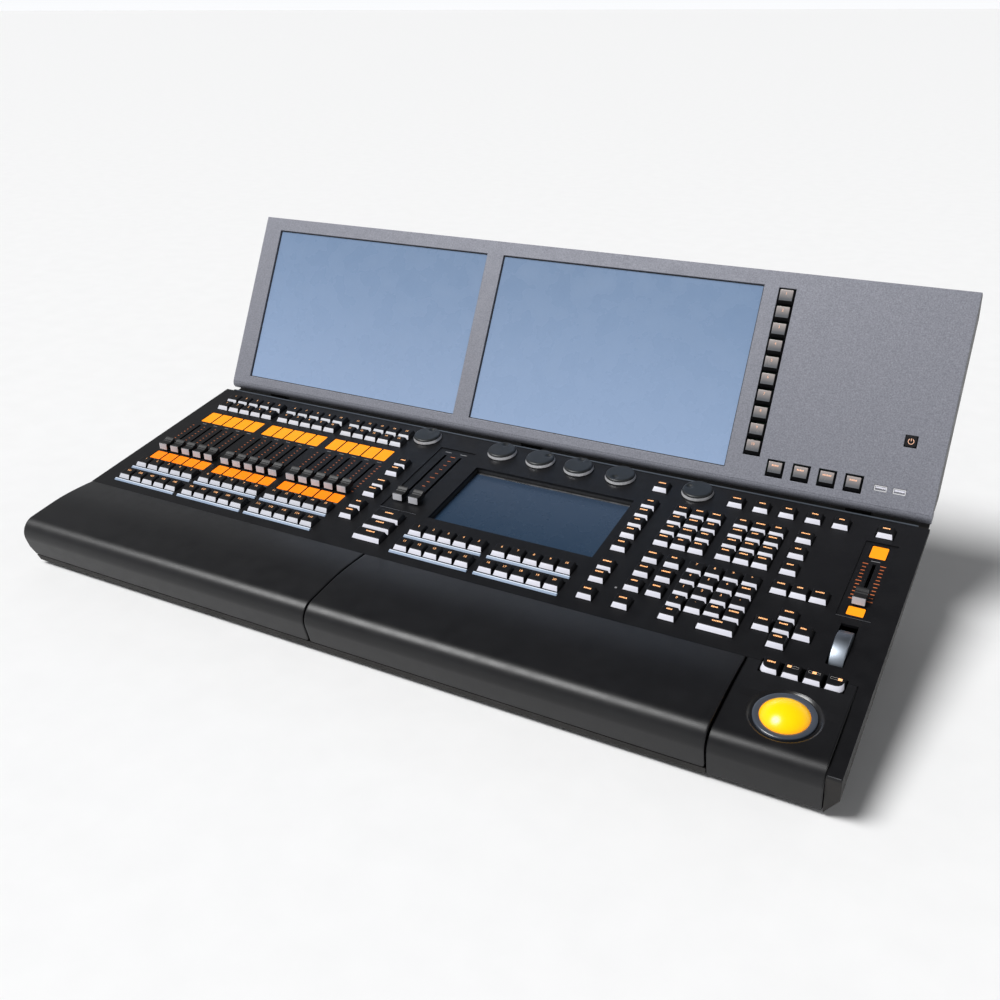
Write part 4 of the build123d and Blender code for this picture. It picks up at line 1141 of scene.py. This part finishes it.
def paint_cad_nodes():
    """Materials for the CAD nodes that show as they are."""
    paints = {
        "bottom_tray": tray_black,
        "rear_panel": tray_black,
        "control_panel": black_paint,
        "control_bodies": socket_black,
        "circuit_boards": board_green,
        "rear_connectors": socket_black,
        "hinge_arms": tray_black,
        "wing_back_cover": wing_dark,
    }
    for node, paint in paints.items():
        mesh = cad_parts[node].data
        mesh.materials.clear()
        mesh.materials.append(paint)
    for node, width in (("bottom_tray", 0.5), ("hinge_arms", 0.6), ("wing_back_cover", 0.6),
                        ("rear_connectors", 0.25)):
        soften(node, width)


# ---- stage, light and camera
def build_stage():
    """A wide pale floor."""
    size = 400.0
    points = [(-size, -size, 0), (size, -size, 0), (size, size, 0), (-size, size, 0)]
    square = Shape().add(points, [(0, 1, 2, 3)])
    paint = surface("floor_pale", (0.86, 0.86, 0.86), 0.02, (0.6, 0.7), 40.0, 0.02)
    new_object("floor", new_mesh("floor", square, [paint], Matrix()))


def build_light():
    """Plain soft studio light: a pale surround, dim overhead, and one broad light from the front left."""
    world = bpy.data.worlds.new("studio")
    world.use_nodes = True
    tree = world.node_tree
    parts = add_node(tree, "SeparateXYZ", Vector=add_node(tree, "TexCoord").outputs["Generated"])
    ramp = add_node(tree, "ValToRGB", Fac=parts.outputs["Z"])
    tree.links.new(ramp.outputs["Color"], tree.nodes["Background"].inputs["Color"])
    stops = ((0.0, 1.0), (0.12, 0.70), (0.42, 0.45), (0.62, 0.10), (1.0, 0.08))
    ramp.color_ramp.elements[0].position = 0.0
    while len(ramp.color_ramp.elements) < len(stops):
        ramp.color_ramp.elements.new(0.5)
    for element, (height, level) in zip(ramp.color_ramp.elements, stops):
        element.position = height
        element.color = (level * 0.97, level * 0.98, level, 1)
    bpy.context.scene.world = world
    key = bpy.data.lights.new("key", "SUN")
    key.energy = 3.5
    key.angle = math.radians(28)
    holder = new_object("key", key)
    direction = Vector((0.438, 0.36, -0.82)).normalized()
    holder.rotation_mode = "QUATERNION"
    holder.rotation_quaternion = direction.to_track_quat("-Z", "Y")


def build_camera():
    """Camera at the photograph's viewing angle: to the right of the desk and above it."""
    azimuth, elevation, roll = 28.8, 24.65, -0.15
    data = bpy.data.cameras.new("camera")
    data.lens = 38.6
    data.sensor_width = 36.0
    camera = new_object("camera", data)
    facing = turned(azimuth, "Z") @ turned(90 - elevation, "X") @ turned(roll, "Z")
    camera.matrix_world = at(0.5734, -0.9882, 0.6117) @ facing
    bpy.context.scene.camera = camera
    bpy.context.scene.view_settings.view_transform = "Standard"


build_camera()
build_stage()
build_light()
paint_cad_nodes()
build_keys()
build_power_button()
build_faders()
build_knobs()
build_wheel()
build_ball()
build_rests()
build_displays()
build_bars()
build_prints()
build_trim()
build_wing_face()
build_wing_lip()
build_wing_screens()
build_command_screen()
build_usb()
build_screws()
build_feet()
